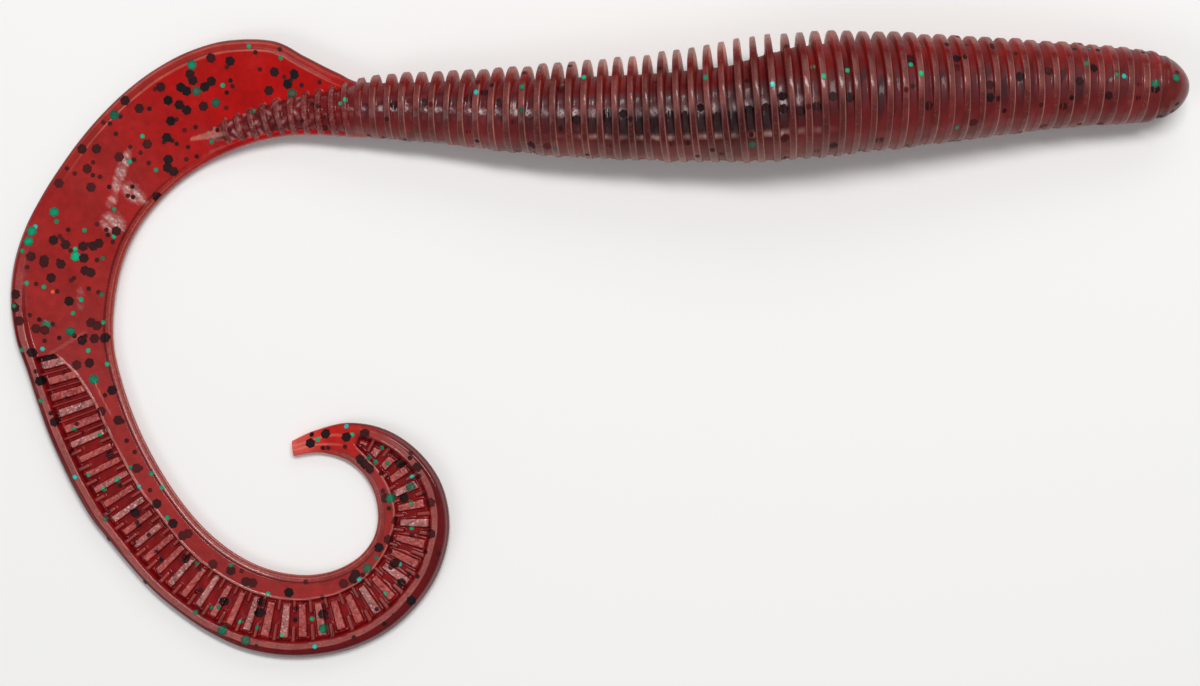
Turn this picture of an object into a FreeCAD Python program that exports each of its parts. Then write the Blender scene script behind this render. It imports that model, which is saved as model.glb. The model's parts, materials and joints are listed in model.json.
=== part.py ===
import FreeCAD, Part
import os, math, random
from FreeCAD import Vector as V

# ---------------------------------------------------------------------------
# Soft plastic worm: a ringed round body and a long flat ribbon tail that
# curls round into a C, cast as one soft moulding with glitter flakes sealed
# inside it.  Millimetres, +Z up, the worm lying on its side on Z = 0, its
# nose towards +X.  Origin: middle of the footprint, on the resting surface.
#
# The moulding bends everywhere.  It is divided here into short sections that
# meet on round faces, convex on the section nearer the nose and concave on
# the next, each pair concentric with its hinge, so that the sections turn on
# each other without meeting.
# ---------------------------------------------------------------------------
os.makedirs("parts", exist_ok=True)

# ---- driving dimensions -----------------------------------------------------
SHIFT_X = 0.80            # moves the drawing so that the footprint is centred
SHIFT_Y = -0.02
BELLY_LIFT = 0.20         # the rings stand this far off the surface where the hinges are
GAP_BODY = 0.25           # clearance between the round faces, body sections
GAP_TAIL = 0.20           # the same, ribbon sections
RIM = 1.5                 # radius of a round face over the half width there

RING_PITCH = 2.02         # body rings
RING_WIDTH = 1.24
RING_FIRST_X = -31.93     # rearmost body ring
RING_COUNT = 53
NOSE_END_X = 78.2
NOSE_DOME_X = 73.9        # where the rings stop and the smooth dome starts
NOSE_DOME_R = 4.20

WEB_T = 1.9               # thickness of the smooth web and paddle
BEAD_T = 2.45             # raised bead along the outer edge of the ribbon
TROUGH_T = 1.20           # floor of the ladder trough
BAND_T = 1.90             # plain inner band of the ribbon
RUNG_TOP = 1.95           # top of the cross ribs in the trough
STUB_TOP = 1.75           # top of the short ribs between them, one from each side
STUB_W = 0.42
# places of the cross ribs along the tail
RUNG_AT = [61.8 + 2.13 * k for k in range(21)] + [
    106.6, 108.8, 111.0, 113.3, 115.6, 117.85, 120.15, 122.5, 124.95, 127.3,
    129.7, 132.1, 134.35, 136.7, 138.8, 140.9, 143.0]
# distances from the outer edge, by length along the tail: trough, then rib ends,
# then the ends of the short ribs from the outer and the inner side
TROUGH_OUT = [(57, 2.35), (80, 2.45), (90, 2.25), (100, 2.25), (110, 2.5), (120, 2.85), (130, 2.75), (143, 2.5), (150, 2.0)]
TROUGH_IN = [(57, 4.4), (60.7, 4.6), (62, 5.3), (64, 6.4), (66, 6.95), (68, 7.4), (70, 7.6), (75, 7.8), (80, 7.85),
             (90, 7.5), (95, 7.4), (105, 7.8), (115, 7.7), (130, 7.55), (133, 7.15), (137, 6.45), (140, 5.6),
             (143, 4.7), (145, 3.6), (150, 2.4)]
RUNG_OUT = [(57, 2.45), (72, 2.5), (80, 2.65), (88, 2.4), (100, 2.4), (110, 2.7), (120, 3.0), (130, 2.9), (143, 2.75), (145, 2.35)]
RUNG_IN = [(61.8, 5.2), (63.9, 6.3), (66.1, 6.8), (68.2, 7.2), (75, 7.3), (80, 7.4), (85, 7.0), (90, 6.9), (100, 7.0),
           (106, 7.2), (115, 6.9), (130, 6.8), (134.3, 6.4), (136.7, 6.0), (138.8, 5.4), (140.9, 4.6), (143.0, 3.75)]
STUB_OUT = [(60, 4.6), (71, 4.6), (74, 3.4), (100, 3.4), (108, 4.2), (130, 4.1), (143, 3.4)]
STUB_IN = [(60, 4.6), (71, 4.6), (74, 6.3), (100, 6.25), (110, 6.1), (130, 6.2), (137, 5.6), (143, 4.4)]

STEM_RING_W = 0.72
STEM_RING_PITCH = 1.86

FLAKE_T = 0.12
FLAKE_BIG = 1.18          # across flats
FLAKE_SMALL = 0.58

# body stations: x, y of the axis, ring crest radius, core radius
BODY = [
    (-31.93, 32.20, 4.24, 3.05), (-26.63, 32.21, 4.47, 3.18), (-20.01, 32.03, 4.90, 3.45),
    (-13.38, 31.73, 5.53, 3.78), (-6.76, 31.62, 6.11, 4.04), (-0.13, 31.65, 6.58, 4.31),
    (6.49, 31.78, 7.01, 4.44), (13.12, 32.15, 7.54, 4.57), (19.74, 32.68, 8.10, 4.70),
    (26.37, 33.22, 8.31, 4.84), (32.99, 33.69, 8.07, 4.84), (39.62, 34.02, 7.59, 4.84),
    (46.24, 34.32, 6.99, 4.77), (52.87, 34.65, 6.38, 4.70), (59.49, 34.90, 5.85, 4.64),
    (66.12, 34.96, 5.32, 4.37), (72.74, 34.85, 4.77, 4.11), (79.0, 34.80, 4.40, 3.9)]

# stem stations: x, y of its axis, radius.  It carries the body on into the web.
STEM = [
    (-32.59, 31.91, 3.71), (-37.50, 31.58, 3.05), (-42.17, 31.21, 2.58), (-44.76, 30.63, 2.32),
    (-48.45, 29.60, 2.05), (-50.51, 29.08, 1.70), (-52.58, 28.63, 1.14), (-55.20, 28.11, 0.33)]

# tail stations: length along the middle line, outer edge x, y, inner edge x, y
TAIL = [
    (0.00, -32.60, 35.84, -32.60, 28.22), (3.88, -35.78, 37.10, -37.46, 28.48),
    (7.75, -39.67, 39.09, -41.80, 28.48), (11.63, -43.96, 41.21, -45.37, 27.88),
    (15.50, -50.05, 41.37, -47.24, 27.41), (19.38, -55.20, 40.07, -49.80, 26.53),
    (23.25, -59.81, 37.84, -52.47, 25.36), (27.13, -63.79, 35.04, -55.15, 23.81),
    (31.01, -67.25, 31.79, -57.69, 21.90), (34.88, -70.31, 28.26, -60.00, 19.64),
    (38.76, -73.02, 24.53, -62.02, 17.08), (42.63, -75.52, 20.61, -63.63, 14.25),
    (46.51, -77.73, 16.30, -64.72, 11.39), (50.38, -79.28, 11.45, -65.38, 8.66),
    (54.26, -79.76, 6.32, -65.78, 5.95), (58.14, -79.10, 1.24, -65.97, 3.14),
    (62.01, -77.58, -3.18, -65.78, -0.15), (65.89, -76.32, -7.16, -64.95, -3.78),
    (69.76, -74.86, -11.28, -63.91, -7.14), (73.64, -73.12, -15.22, -62.60, -10.48),
    (77.51, -71.26, -19.05, -61.04, -13.75), (81.39, -68.98, -22.97, -59.39, -16.67),
    (85.27, -66.24, -26.39, -57.47, -19.62), (89.14, -63.55, -29.64, -55.22, -22.52),
    (93.02, -60.42, -32.97, -52.93, -24.93), (96.89, -56.87, -35.89, -50.39, -27.01),
    (100.77, -52.95, -38.48, -47.65, -28.67), (104.64, -48.43, -40.56, -44.94, -29.77),
    (108.52, -43.44, -41.58, -42.22, -30.38), (112.40, -38.38, -41.51, -39.39, -30.53),
    (116.27, -33.33, -40.39, -36.69, -30.10), (120.15, -28.56, -37.99, -34.32, -29.13),
    (124.02, -24.62, -34.28, -32.31, -27.65), (127.90, -21.78, -29.59, -30.89, -25.67),
    (131.77, -20.57, -24.02, -30.29, -23.54), (135.65, -21.60, -18.40, -30.32, -21.33),
    (139.53, -24.74, -13.91, -31.00, -18.89), (143.40, -29.15, -10.95, -32.51, -16.59),
    (147.28, -34.17, -10.01, -34.92, -14.86), (151.15, -38.80, -11.07, -38.19, -14.08),
    (154.60, -41.99, -12.53, -41.79, -14.57)]
TAIL_END = TAIL[-1][0]

# hinges of the body, by x on the body axis (nose to tail)
BODY_HINGE_X = [64.1, 46.9, 28.4, 8.5, -10.7, -27.3]
# hinges of the tail, by length along the tail: (name, length, kind)
TAIL_HINGES = [("fan", 15.0, "lift"), ("paddle", 37.0, "turn"), ("ladder", 60.0, "lift"),
               ("bend", 76.5, "turn"), ("sweep", 95.5, "lift"), ("hook", 107.0, "turn"),
               ("curl", 122.0, "turn"), ("tip", 141.5, "lift")]


# ---- small helpers ----------------------------------------------------------
def lerp(a, b, t):
    return a + (b - a) * t


def table(rows, key, x):
    """Straight-line look-up of a row at x; rows ascend in column 0."""
    if x <= rows[0][0]:
        return rows[0][key]
    for a, b in zip(rows, rows[1:]):
        if x <= b[0]:
            return lerp(a[key], b[key], (x - a[0]) / (b[0] - a[0]))
    return rows[-1][key]


def curve(rows, key, x):
    """Smooth look-up of a row at x: a cubic through the neighbouring rows."""
    n = len(rows)
    k = 0
    while k < n - 2 and x > rows[k + 1][0]:
        k += 1
    x0, x1 = rows[k][0], rows[k + 1][0]
    y0, y1 = rows[k][key], rows[k + 1][key]
    m0 = (y1 - rows[k - 1][key]) / (x1 - rows[k - 1][0]) if k > 0 else (y1 - y0) / (x1 - x0)
    m1 = (rows[k + 2][key] - y0) / (rows[k + 2][0] - x0) if k < n - 2 else (y1 - y0) / (x1 - x0)
    h = x1 - x0
    t = min(max((x - x0) / h, 0.0), 1.0)
    return ((2 * t ** 3 - 3 * t ** 2 + 1) * y0 + (t ** 3 - 2 * t ** 2 + t) * h * m0
            + (3 * t ** 2 - 2 * t ** 3) * y1 + (t ** 3 - t ** 2) * h * m1)


def smooth(t):
    t = min(max(t, 0.0), 1.0)
    return t * t * (3 - 2 * t)


def place(x, y, z):
    return V(x + SHIFT_X, y + SHIFT_Y, z)


def crest(x):
    return table(BODY, 2, x)


def axis_z(x):
    """Height of the body's axis: every ring lies on the resting surface, or just off it."""
    return crest(x) + BELLY_LIFT


def body_point(x):
    return place(x, table(BODY, 1, x), axis_z(x))


def mid_z(l):
    """Height of the tail's middle plane: level with the body's axis at its root,
    down to half the ribbon's thickness once the ribbon lies flat."""
    root = [(-6.0, 4.30), (0.0, 3.95), (4.7, 3.32), (9.0, 2.84), (12.0, 2.56), (16.0, 2.20),
            (20.0, 1.75), (24.0, 1.20), (27.0, 0.98), (30.0, WEB_T / 2)]
    return table(root, 1, l)


def edges(l):
    if l < 0:                                   # straight on into the neck
        o, i = V(*TAIL[0][1:3], 0), V(*TAIL[0][3:5], 0)
        return o + V(-l, 0, 0), i + V(-l, 0, 0)
    return (V(curve(TAIL, 1, l), curve(TAIL, 2, l), 0), V(curve(TAIL, 3, l), curve(TAIL, 4, l), 0))


def tail_point(l, v=0.5, z=None):
    o, i = edges(l)
    p = o + (i - o) * v
    return place(p.x, p.y, mid_z(l) if z is None else z)


def tail_dir(l):
    d = tail_point(min(l + 1.0, TAIL_END), 0.5, 0) - tail_point(max(l - 1.0, -2.0), 0.5, 0)
    return d.normalize()


def half_width(l):
    o, i = edges(l)
    return (o - i).Length / 2


def hexagon(across, centre, normal, turn, thick):
    """A thin six-sided flake about centre."""
    r = across / math.sqrt(3)
    pl = FreeCAD.Placement(centre, FreeCAD.Rotation(V(0, 0, 1), normal))
    pts = [V(r * math.cos(turn + k * math.pi / 3), r * math.sin(turn + k * math.pi / 3), -thick / 2)
           for k in range(6)]
    face = Part.Face(Part.makePolygon(pts + [pts[0]]))
    s = face.extrude(V(0, 0, thick))
    s.Placement = pl
    return s


# ---- ringed body sections ---------------------------------------------------
def ring_xs():
    return [RING_FIRST_X + RING_PITCH * k for k in range(RING_COUNT)]


def nose_radius(x):
    """Smooth dome in front of the last ring."""
    t = (x - NOSE_DOME_X) / (NOSE_END_X - NOSE_DOME_X)
    return NOSE_DOME_R * math.sqrt(max(0.0, 1 - t * t))


def section_profile(x_from, x_to, s_of_x):
    """Half outline of the body between two stations (x_from > x_to), as edges in
    (s, radius): the core, with one round-topped ring at each ring station."""
    edges_ = []
    pts = []

    def line_to(p):
        if (p - pts[-1]).Length > 1e-6:
            edges_.append(Part.LineSegment(pts[-1], p).toShape())
            pts.append(p)

    def core(x):
        return table(BODY, 3, x)

    pts.append(V(s_of_x(x_from), 0, 0))
    if x_from > NOSE_DOME_X:                    # nose: dome first
        mid = NOSE_DOME_X + 0.7071 * (NOSE_END_X - NOSE_DOME_X)
        a = V(s_of_x(NOSE_END_X), 0, 0)
        m = V(s_of_x(mid), nose_radius(mid), 0)
        b = V(s_of_x(NOSE_DOME_X), NOSE_DOME_R, 0)
        pts[0] = a
        edges_.append(Part.Arc(a, m, b).toShape())
        pts.append(b)
        line_to(V(s_of_x(NOSE_DOME_X), core(NOSE_DOME_X), 0))
    else:
        line_to(V(s_of_x(x_from), core(x_from), 0))
    for x in sorted(ring_xs(), reverse=True):
        if x + RING_WIDTH / 2 > min(x_from, NOSE_DOME_X) - 0.05 or x - RING_WIDTH / 2 < x_to + 0.05:
            continue
        h, w = crest(x), RING_WIDTH / 2
        base_a, base_b = core(x + w), core(x - w)
        line_to(V(s_of_x(x + w), base_a, 0))
        rise = min(w, (h - base_a) * 0.9)
        line_to(V(s_of_x(x + w), h - rise, 0))
        a = pts[-1]
        b = V(s_of_x(x - w), h - rise, 0)
        edges_.append(Part.Arc(a, V(s_of_x(x), h, 0), b).toShape())
        pts.append(b)
        line_to(V(s_of_x(x - w), base_b, 0))
    line_to(V(s_of_x(x_to), core(x_to), 0))
    line_to(V(s_of_x(x_to), 0, 0))
    edges_.append(Part.LineSegment(pts[-1], pts[0]).toShape())
    return Part.Face(Part.Wire(Part.__sortEdges__(edges_)))


def disc(s, r):
    return Part.Face(Part.Wire(Part.Circle(V(s, 0, 0), V(0, 0, 1), r).toShape()))


def rect(s0, s1, r):
    return Part.Face(Part.makePolygon([V(s0, -r, 0), V(s1, -r, 0), V(s1, r, 0), V(s0, r, 0), V(s0, -r, 0)]))


def largest(shape):
    parts = shape.Faces
    return max(parts, key=lambda f: f.Area)


def body_section(x_a, x_b, r_a, r_b):
    """One ringed section from the hinge at x_a to the hinge at x_b (x_a > x_b).
    r_a: radius of its concave front face, or None at the nose.
    r_b: radius of its convex rear face."""
    a, b = body_point(x_a), body_point(x_b)
    length = (b - a).Length
    scale = length / (x_a - x_b)

    def s_of_x(x):
        return (x_a - x) * scale

    x_end = x_b - r_b / scale
    face = section_profile(NOSE_END_X if r_a is None else x_a, x_end, s_of_x)
    if r_a is not None:
        face = largest(face.cut(disc(0, r_a)))
    tail_cut = rect(length, length + r_b + 2, 30).cut(disc(length, r_b))
    face = largest(face.cut(tail_cut))
    solid = face.revolve(V(0, 0, 0), V(1, 0, 0), 360)
    if solid.ShapeType != "Solid":
        solid = solid.Solids[0] if solid.Solids else Part.Solid(solid.Shells[0])
    d = (b - a).normalize()
    solid.Placement = FreeCAD.Placement(a, FreeCAD.Rotation(V(1, 0, 0), d))
    return solid


# ---- tail sections ----------------------------------------------------------
def tail_section_wire(l):
    """Twelve-sided cross-section of the tail at length l, outer edge first."""
    o, i = edges(l)
    ladder = smooth((l - 58.0) / 6.0) * (1 - smooth((l - 138.5) / 5.0))
    end = smooth((l - 143.0) / 12.0)            # the tip thins down
    flat = smooth((l - 20.0) / 10.0)            # underside flat on the surface
    z0 = mid_z(l) - WEB_T / 2
    top = lerp(WEB_T, BEAD_T, ladder) * lerp(1.0, 0.72, end)
    floor_ = lerp(WEB_T, TROUGH_T, ladder) * lerp(1.0, 0.72, end)
    band = lerp(WEB_T, BAND_T, ladder) * lerp(1.0, 0.72, end)
    bv = min(0.38, table(TROUGH_OUT, 1, l) / (2 * half_width(l)))
    nv = min(0.78, max(bv + 0.12, table(TROUGH_IN, 1, l) / (2 * half_width(l))))
    rim = 0.45 / (2 * half_width(l))            # edge rounding, as a share of the width
    rim = min(rim, 0.16)
    low = -0.10 * flat                          # planed off level by tail_blank
    prof = [(rim, low), (0.0, 0.45), (0.0, top - 0.55), (rim, top),
            (bv - 0.03, top - 0.02), (bv, floor_), (nv, floor_), (nv + 0.02, band),
            (1 - rim, band - 0.02), (1.0, band - 0.5), (1.0, 0.45), (1 - rim, low)]
    pts = []
    for v, z in prof:
        p = o + (i - o) * v
        pts.append(place(p.x, p.y, z0 + z))
    return Part.makePolygon(pts + [pts[0]])


def tail_blank(l0, l1):
    """Solid of the ribbon between two lengths."""
    rows = [r[0] for r in TAIL]
    rows += [(a + b) / 2 for a, b in zip(rows, rows[1:])]
    stops = [l0] + [r for r in rows if l0 + 0.4 < r < l1 - 0.4] + [l1]
    extra = [60.0, 64.0, 139.5, 142.0]
    for e in extra:
        if l0 + 0.6 < e < l1 - 0.6 and min(abs(e - s) for s in stops) > 0.6:
            stops.append(e)
    stops.sort()
    s = Part.makeLoft([tail_section_wire(l) for l in stops], True, True)
    if s.Volume < 0:
        s.reverse()
    # one flat level underside, where the ribbon lies on the surface
    s = s.cut(Part.makeBox(200, 200, 5, V(-120, -100, -5)))
    return max(s.Solids, key=lambda p: p.Volume)


def rib(l, d0, d1, width, top):
    """A rib across the tail at length l, from d0 to d1 in from the outer edge."""
    t = tail_dir(l)
    o, i = edges(l)
    n = (i - o).normalize()
    a, b, h = o + n * d0, o + n * d1, width / 2
    pts = [a - t * h, b - t * h, b + t * h, a + t * h]
    pts = [place(p.x, p.y, 0.6) for p in pts]
    return Part.Face(Part.makePolygon(pts + [pts[0]])).extrude(V(0, 0, top - 0.6))


def stem():
    """The round rod in the web, with its rings, tapering to a point."""
    pts = [place(x, y, 0) for x, y, r in STEM]
    rad = [r for x, y, r in STEM]
    root = place(-27.0, 32.2, 0)
    pts.insert(0, root)
    rad.insert(0, 3.95)
    out = []
    run = [0.0]
    for p, q in zip(pts, pts[1:]):
        run.append(run[-1] + (q - p).Length)

    def at(s):
        for k in range(len(run) - 1):
            if s <= run[k + 1] + 1e-9:
                t = (s - run[k]) / (run[k + 1] - run[k])
                p = pts[k] + (pts[k + 1] - pts[k]) * t
                return p, lerp(rad[k], rad[k + 1], t), (pts[k + 1] - pts[k]).normalize()
        return pts[-1], rad[-1], (pts[-1] - pts[-2]).normalize()

    def centre(s):
        p, r, d = at(s)
        l = s - (pts[1] - root).Length
        return V(p.x, p.y, mid_z(l)), r, d

    wires = []
    for s in run:
        c, r, d = centre(s)
        a, _, _ = centre(max(s - 0.5, 0))
        b, _, _ = centre(min(s + 0.5, run[-1]))
        d = (b - a).normalize()
        wires.append(Part.Wire(Part.Circle(c, d, r * 0.80).toShape()))
    core = Part.makeLoft(wires, True, True)
    out.append(core)
    s = (pts[1] - root).Length + 0.4
    while s < run[-1] - 1.6:
        c, r, _ = centre(s)
        a, _, _ = centre(s - 0.5)
        b, _, _ = centre(s + 0.5)
        d = (b - a).normalize()
        out.append(Part.makeCylinder(r, STEM_RING_W, c - d * (STEM_RING_W / 2), d))
        s += STEM_RING_PITCH
    return out


def hinge_face(l, kind):
    """The round tool of a tail hinge: (solid builder by radius, radius)."""
    c = tail_point(l)
    if kind == "turn":
        r = RIM * half_width(l)
        return (lambda rr: Part.makeCylinder(rr, 40, V(c.x, c.y, -20), V(0, 0, 1))), r, c
    d = tail_dir(l)
    side = V(-d.y, d.x, 0)
    thick = 2.3 if l < 30 else BEAD_T / 2
    c = V(c.x, c.y, mid_z(l) if l < 30 else BEAD_T / 2)
    r = RIM * thick
    return (lambda rr: Part.makeCylinder(rr, 60, c - side * 30, side)), r, c


def export(name, shape):
    solids = shape.Solids
    ok = shape.isValid() and all(s.Volume > 0 for s in solids)
    print("%-26s solids %2d  faces %3d  volume %8.2f  valid %s"
          % (name, len(solids), len(shape.Faces), shape.Volume, ok))
    shape.exportStep("parts/%s.step" % name)


# ---- build ------------------------------------------------------------------
sections = {}
hinges = []

names = ["body_head", "body_shoulder", "body_belly", "body_waist", "body_hip", "body_neck"]
radii = []
for x in BODY_HINGE_X:
    r = RIM * crest(x)
    for _ in range(6):                            # the crest where the rim falls
        r = RIM * crest(x - 0.745 * r)
    radii.append(r)
for k, n in enumerate(names):
    if k == 0:
        sections[n] = body_section(NOSE_END_X - 6.0, BODY_HINGE_X[0], None, radii[0])
    else:
        sections[n] = body_section(BODY_HINGE_X[k - 1], BODY_HINGE_X[k], radii[k - 1] + GAP_BODY, radii[k])
for k, x in enumerate(BODY_HINGE_X):
    hinges.append((x, body_point(x), V(0, 0, 1)))

tail_names = ["tail_fan", "tail_web", "tail_paddle", "tail_ribbon_1", "tail_ribbon_2",
              "tail_ribbon_3", "tail_bend", "tail_curl", "tail_tip"]
tools = [hinge_face(l, kind) for _, l, kind in TAIL_HINGES]
stem_parts = stem()
neck_ball = Part.makeSphere(radii[-1] + GAP_BODY, body_point(BODY_HINGE_X[-1]))
rungs = []
for k, l in enumerate(RUNG_AT):
    wide = 1.05 if l < 72 or l > 105 else 0.90
    rungs.append((l, rib(l, table(RUNG_OUT, 1, l), table(RUNG_IN, 1, l), wide, RUNG_TOP)))
for a, b in zip(RUNG_AT[:-1], RUNG_AT[1:]):
    l = (a + b) / 2
    t0, t1 = table(TROUGH_OUT, 1, l) - 0.5, table(TROUGH_IN, 1, l) + 0.25
    if l < 72:
        rungs.append((l, rib(l, t0, t1, 0.24, STUB_TOP)))
    else:
        rungs.append((l, rib(l, t0, table(STUB_OUT, 1, l), STUB_W, STUB_TOP)))
        rungs.append((l, rib(l, table(STUB_IN, 1, l), t1, STUB_W, STUB_TOP)))
ranges = {}
for k, n in enumerate(tail_names):
    l0 = -5.5 if k == 0 else TAIL_HINGES[k - 1][1]
    last = k == len(tail_names) - 1
    l1 = TAIL_END if last else TAIL_HINGES[k][1]
    reach = 0.0 if last else tools[k][1] + 0.6
    blank = tail_blank(l0, min(l1 + reach, TAIL_END))
    extra = []
    if n in ("tail_fan", "tail_web"):
        extra += stem_parts
    extra += [r for ll, r in rungs if l0 + 0.3 < ll < min(l1 + reach, TAIL_END) - 0.8]
    if extra:
        blank = blank.fuse(extra)
        if n == "tail_fan":
            pass
    # trim the start: concave, about the previous hinge
    if k == 0:
        shape = blank.cut(neck_ball)
    else:
        tool, r, c = tools[k - 1]
        shape = blank.cut(tool(r + GAP_TAIL))
    # trim the end: convex, about this section's own hinge
    if not last:
        tool, r, c = tools[k]
        d = tail_dir(l1)
        # everything in front of the hinge and outside the round face goes
        front = Part.makeBox(80, 80, 40, V(0, -40, -20))
        front.Placement = FreeCAD.Placement(V(c.x, c.y, 0), FreeCAD.Rotation(V(1, 0, 0), d))
        front = front.cut(tool(r))
        shape = shape.cut(front)
        hinges.append((l1, c, V(0, 0, 1) if TAIL_HINGES[k][2] == "turn" else V(d.y, -d.x, 0)))
    if k and TAIL_HINGES[k - 1][2] == "lift":
        # behind a lift hinge nothing of this section may stay
        tool, r, c = tools[k - 1]
        d = tail_dir(TAIL_HINGES[k - 1][1])
        back = Part.makeBox(60, 80, 40, V(-60, -40, -20))
        back.Placement = FreeCAD.Placement(V(c.x, c.y, 0), FreeCAD.Rotation(V(1, 0, 0), d))
        shape = shape.cut(back)
    solids = sorted(shape.Solids, key=lambda s: -s.Volume)
    sections[n] = solids[0]
    ranges[n] = (l0 + (tools[k - 1][1] if k else 2.0), min(l1 + (0 if last else tools[k][1] * 0.6), TAIL_END - 3))


# ---- glitter flakes, sealed inside each section -------------------------------
random.seed(4117)
COUNTS = {     # section: (large black, small black, large green, small green)
    "body_head": (6, 8, 2, 2), "body_shoulder": (7, 9, 2, 2), "body_belly": (8, 10, 2, 3),
    "body_waist": (7, 9, 2, 2), "body_hip": (6, 8, 2, 2), "body_neck": (4, 8, 1, 2),
    "tail_fan": (9, 9, 2, 2), "tail_web": (14, 14, 3, 3), "tail_paddle": (9, 11, 4, 4),
    "tail_ribbon_1": (7, 9, 2, 3), "tail_ribbon_2": (5, 7, 1, 2), "tail_ribbon_3": (6, 8, 1, 3),
    "tail_bend": (5, 6, 1, 2), "tail_curl": (4, 6, 1, 2), "tail_tip": (2, 4, 0, 1)}


def inside(solid, flake):
    c = flake.CenterOfMass
    for v in flake.Vertexes:
        p = c + (v.Point - c) * 1.18
        if not solid.isInside(p, 0.01, False):
            return False
    return True


def tail_spot(l0, l1, size):
    l = random.uniform(l0, l1)
    m = (size * 0.6 + 0.75) / (2 * half_width(l))
    if m > 0.45:
        return None
    v = random.uniform(m, 1 - m)
    base = mid_z(l) - WEB_T / 2
    c = tail_point(l, v, base + random.uniform(0.32, 0.82))
    if l < 30 and random.random() < 0.5:
        c = tail_point(l, v, mid_z(l) + random.uniform(-0.4, 0.4))
    tilt = math.radians(random.uniform(0, 7))
    return c, tilt


def body_spot(x0, x1, size):
    x = random.uniform(x0, x1)
    r = (table(BODY, 3, x) - 0.65 * size - 0.25) * math.sqrt(random.random())
    a = random.uniform(0, 2 * math.pi)
    c = body_point(x) + V(0, r * math.cos(a), r * math.sin(a))
    return c, math.radians(random.uniform(0, 40))


def scatter(name, solid, spot, taken, count, size):
    out = []
    tries = 0
    while len(out) < count and tries < 900:
        tries += 1
        got = spot(size)
        if got is None:
            continue
        c, tilt = got
        if any((c - q).Length < (size + w) * 0.60 for q, w in taken):
            continue
        az = random.uniform(0, 2 * math.pi)
        n = V(math.sin(tilt) * math.cos(az), math.sin(tilt) * math.sin(az), math.cos(tilt))
        f = hexagon(size, c, n, random.uniform(0, 1.05), FLAKE_T)
        if not inside(solid, f):
            continue
        out.append(f)
        taken.append((c, size))
    return out


flakes = {}
for n, solid in sections.items():
    b = solid.BoundBox
    if n.startswith("body"):
        k = names.index(n)
        x1 = 76.5 if k == 0 else BODY_HINGE_X[k - 1] - radii[k - 1] * 0.8
        x0 = BODY_HINGE_X[k] - radii[k] * 0.95
        spot = (lambda x0, x1: lambda size: body_spot(x0, x1, size))(x0, x1)
    else:
        spot = (lambda r: lambda size: tail_spot(r[0], r[1], size))(ranges[n])
    taken = []
    if n == "tail_paddle":                       # the one red flake
        red = place(-71.4, 6.6, 0.9)
        flakes["red_flake_paddle"] = [hexagon(FLAKE_SMALL, red, V(0.05, 0.03, 1).normalize(), 0.3, FLAKE_T)]
        assert inside(solid, flakes["red_flake_paddle"][0])
        taken.append((red, FLAKE_SMALL))
    big_k, small_k, big_g, small_g = COUNTS[n]
    tag = n.replace("body_", "").replace("tail_", "")
    greens = scatter(n, solid, spot, taken, big_g, FLAKE_BIG) + scatter(n, solid, spot, taken, small_g, FLAKE_SMALL)
    blacks = scatter(n, solid, spot, taken, big_k, FLAKE_BIG) + scatter(n, solid, spot, taken, small_k, FLAKE_SMALL)
    flakes["black_flakes_" + tag] = blacks
    flakes["green_flakes_" + tag] = greens
    short = (big_k + small_k + big_g + small_g) - len(blacks) - len(greens)
    if short:
        print("flakes short by %d in %s" % (short, n))

for n, s in sections.items():
    export(n, s)
for n, group in flakes.items():
    export(n, Part.makeCompound(group))
for h in hinges:
    print("hinge %.2f  pos %.3f %.3f %.3f  axis %.4f %.4f %.4f" % (h[0], h[1].x, h[1].y, h[1].z, h[2].x, h[2].y, h[2].z))
box = None
for s in sections.values():
    b = s.BoundBox
    box = b if box is None else box.united(b)
print("box", box.XMin, box.XMax, box.YMin, box.YMax, box.ZMin, box.ZMax)
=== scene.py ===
import json, math, random
import bpy
import numpy as np
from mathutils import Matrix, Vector


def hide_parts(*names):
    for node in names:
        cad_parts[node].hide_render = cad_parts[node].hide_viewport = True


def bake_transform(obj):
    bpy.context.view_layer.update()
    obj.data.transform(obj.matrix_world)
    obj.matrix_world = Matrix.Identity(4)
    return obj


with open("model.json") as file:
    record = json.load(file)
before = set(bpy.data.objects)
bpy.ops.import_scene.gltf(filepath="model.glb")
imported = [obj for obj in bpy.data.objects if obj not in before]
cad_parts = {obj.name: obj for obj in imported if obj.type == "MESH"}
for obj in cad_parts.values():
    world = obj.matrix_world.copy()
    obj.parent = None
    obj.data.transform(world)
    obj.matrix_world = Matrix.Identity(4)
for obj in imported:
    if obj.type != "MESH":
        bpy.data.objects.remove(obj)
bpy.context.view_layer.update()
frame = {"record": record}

# =============================================================================
# A soft plastic ribbon-tail worm, drawn in the CAD frame.  Lengths here are in
# millimetres and turn into metres when a mesh is made.  The whole worm is one
# surface, measured by s (length back from the nose) and q (round the section:
# 0 at the outer edge, 1 at the inner edge over the top, 2 back underneath).
# It is cut across at the middle of each rigid section, so that every piece
# spans one hinge.
# =============================================================================
SX, SY = 0.80, -0.02
NOSE_X = 78.2
ROOT_X = -32.60
BODY_LEN = NOSE_X - ROOT_X           # s at which the tail begins

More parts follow.
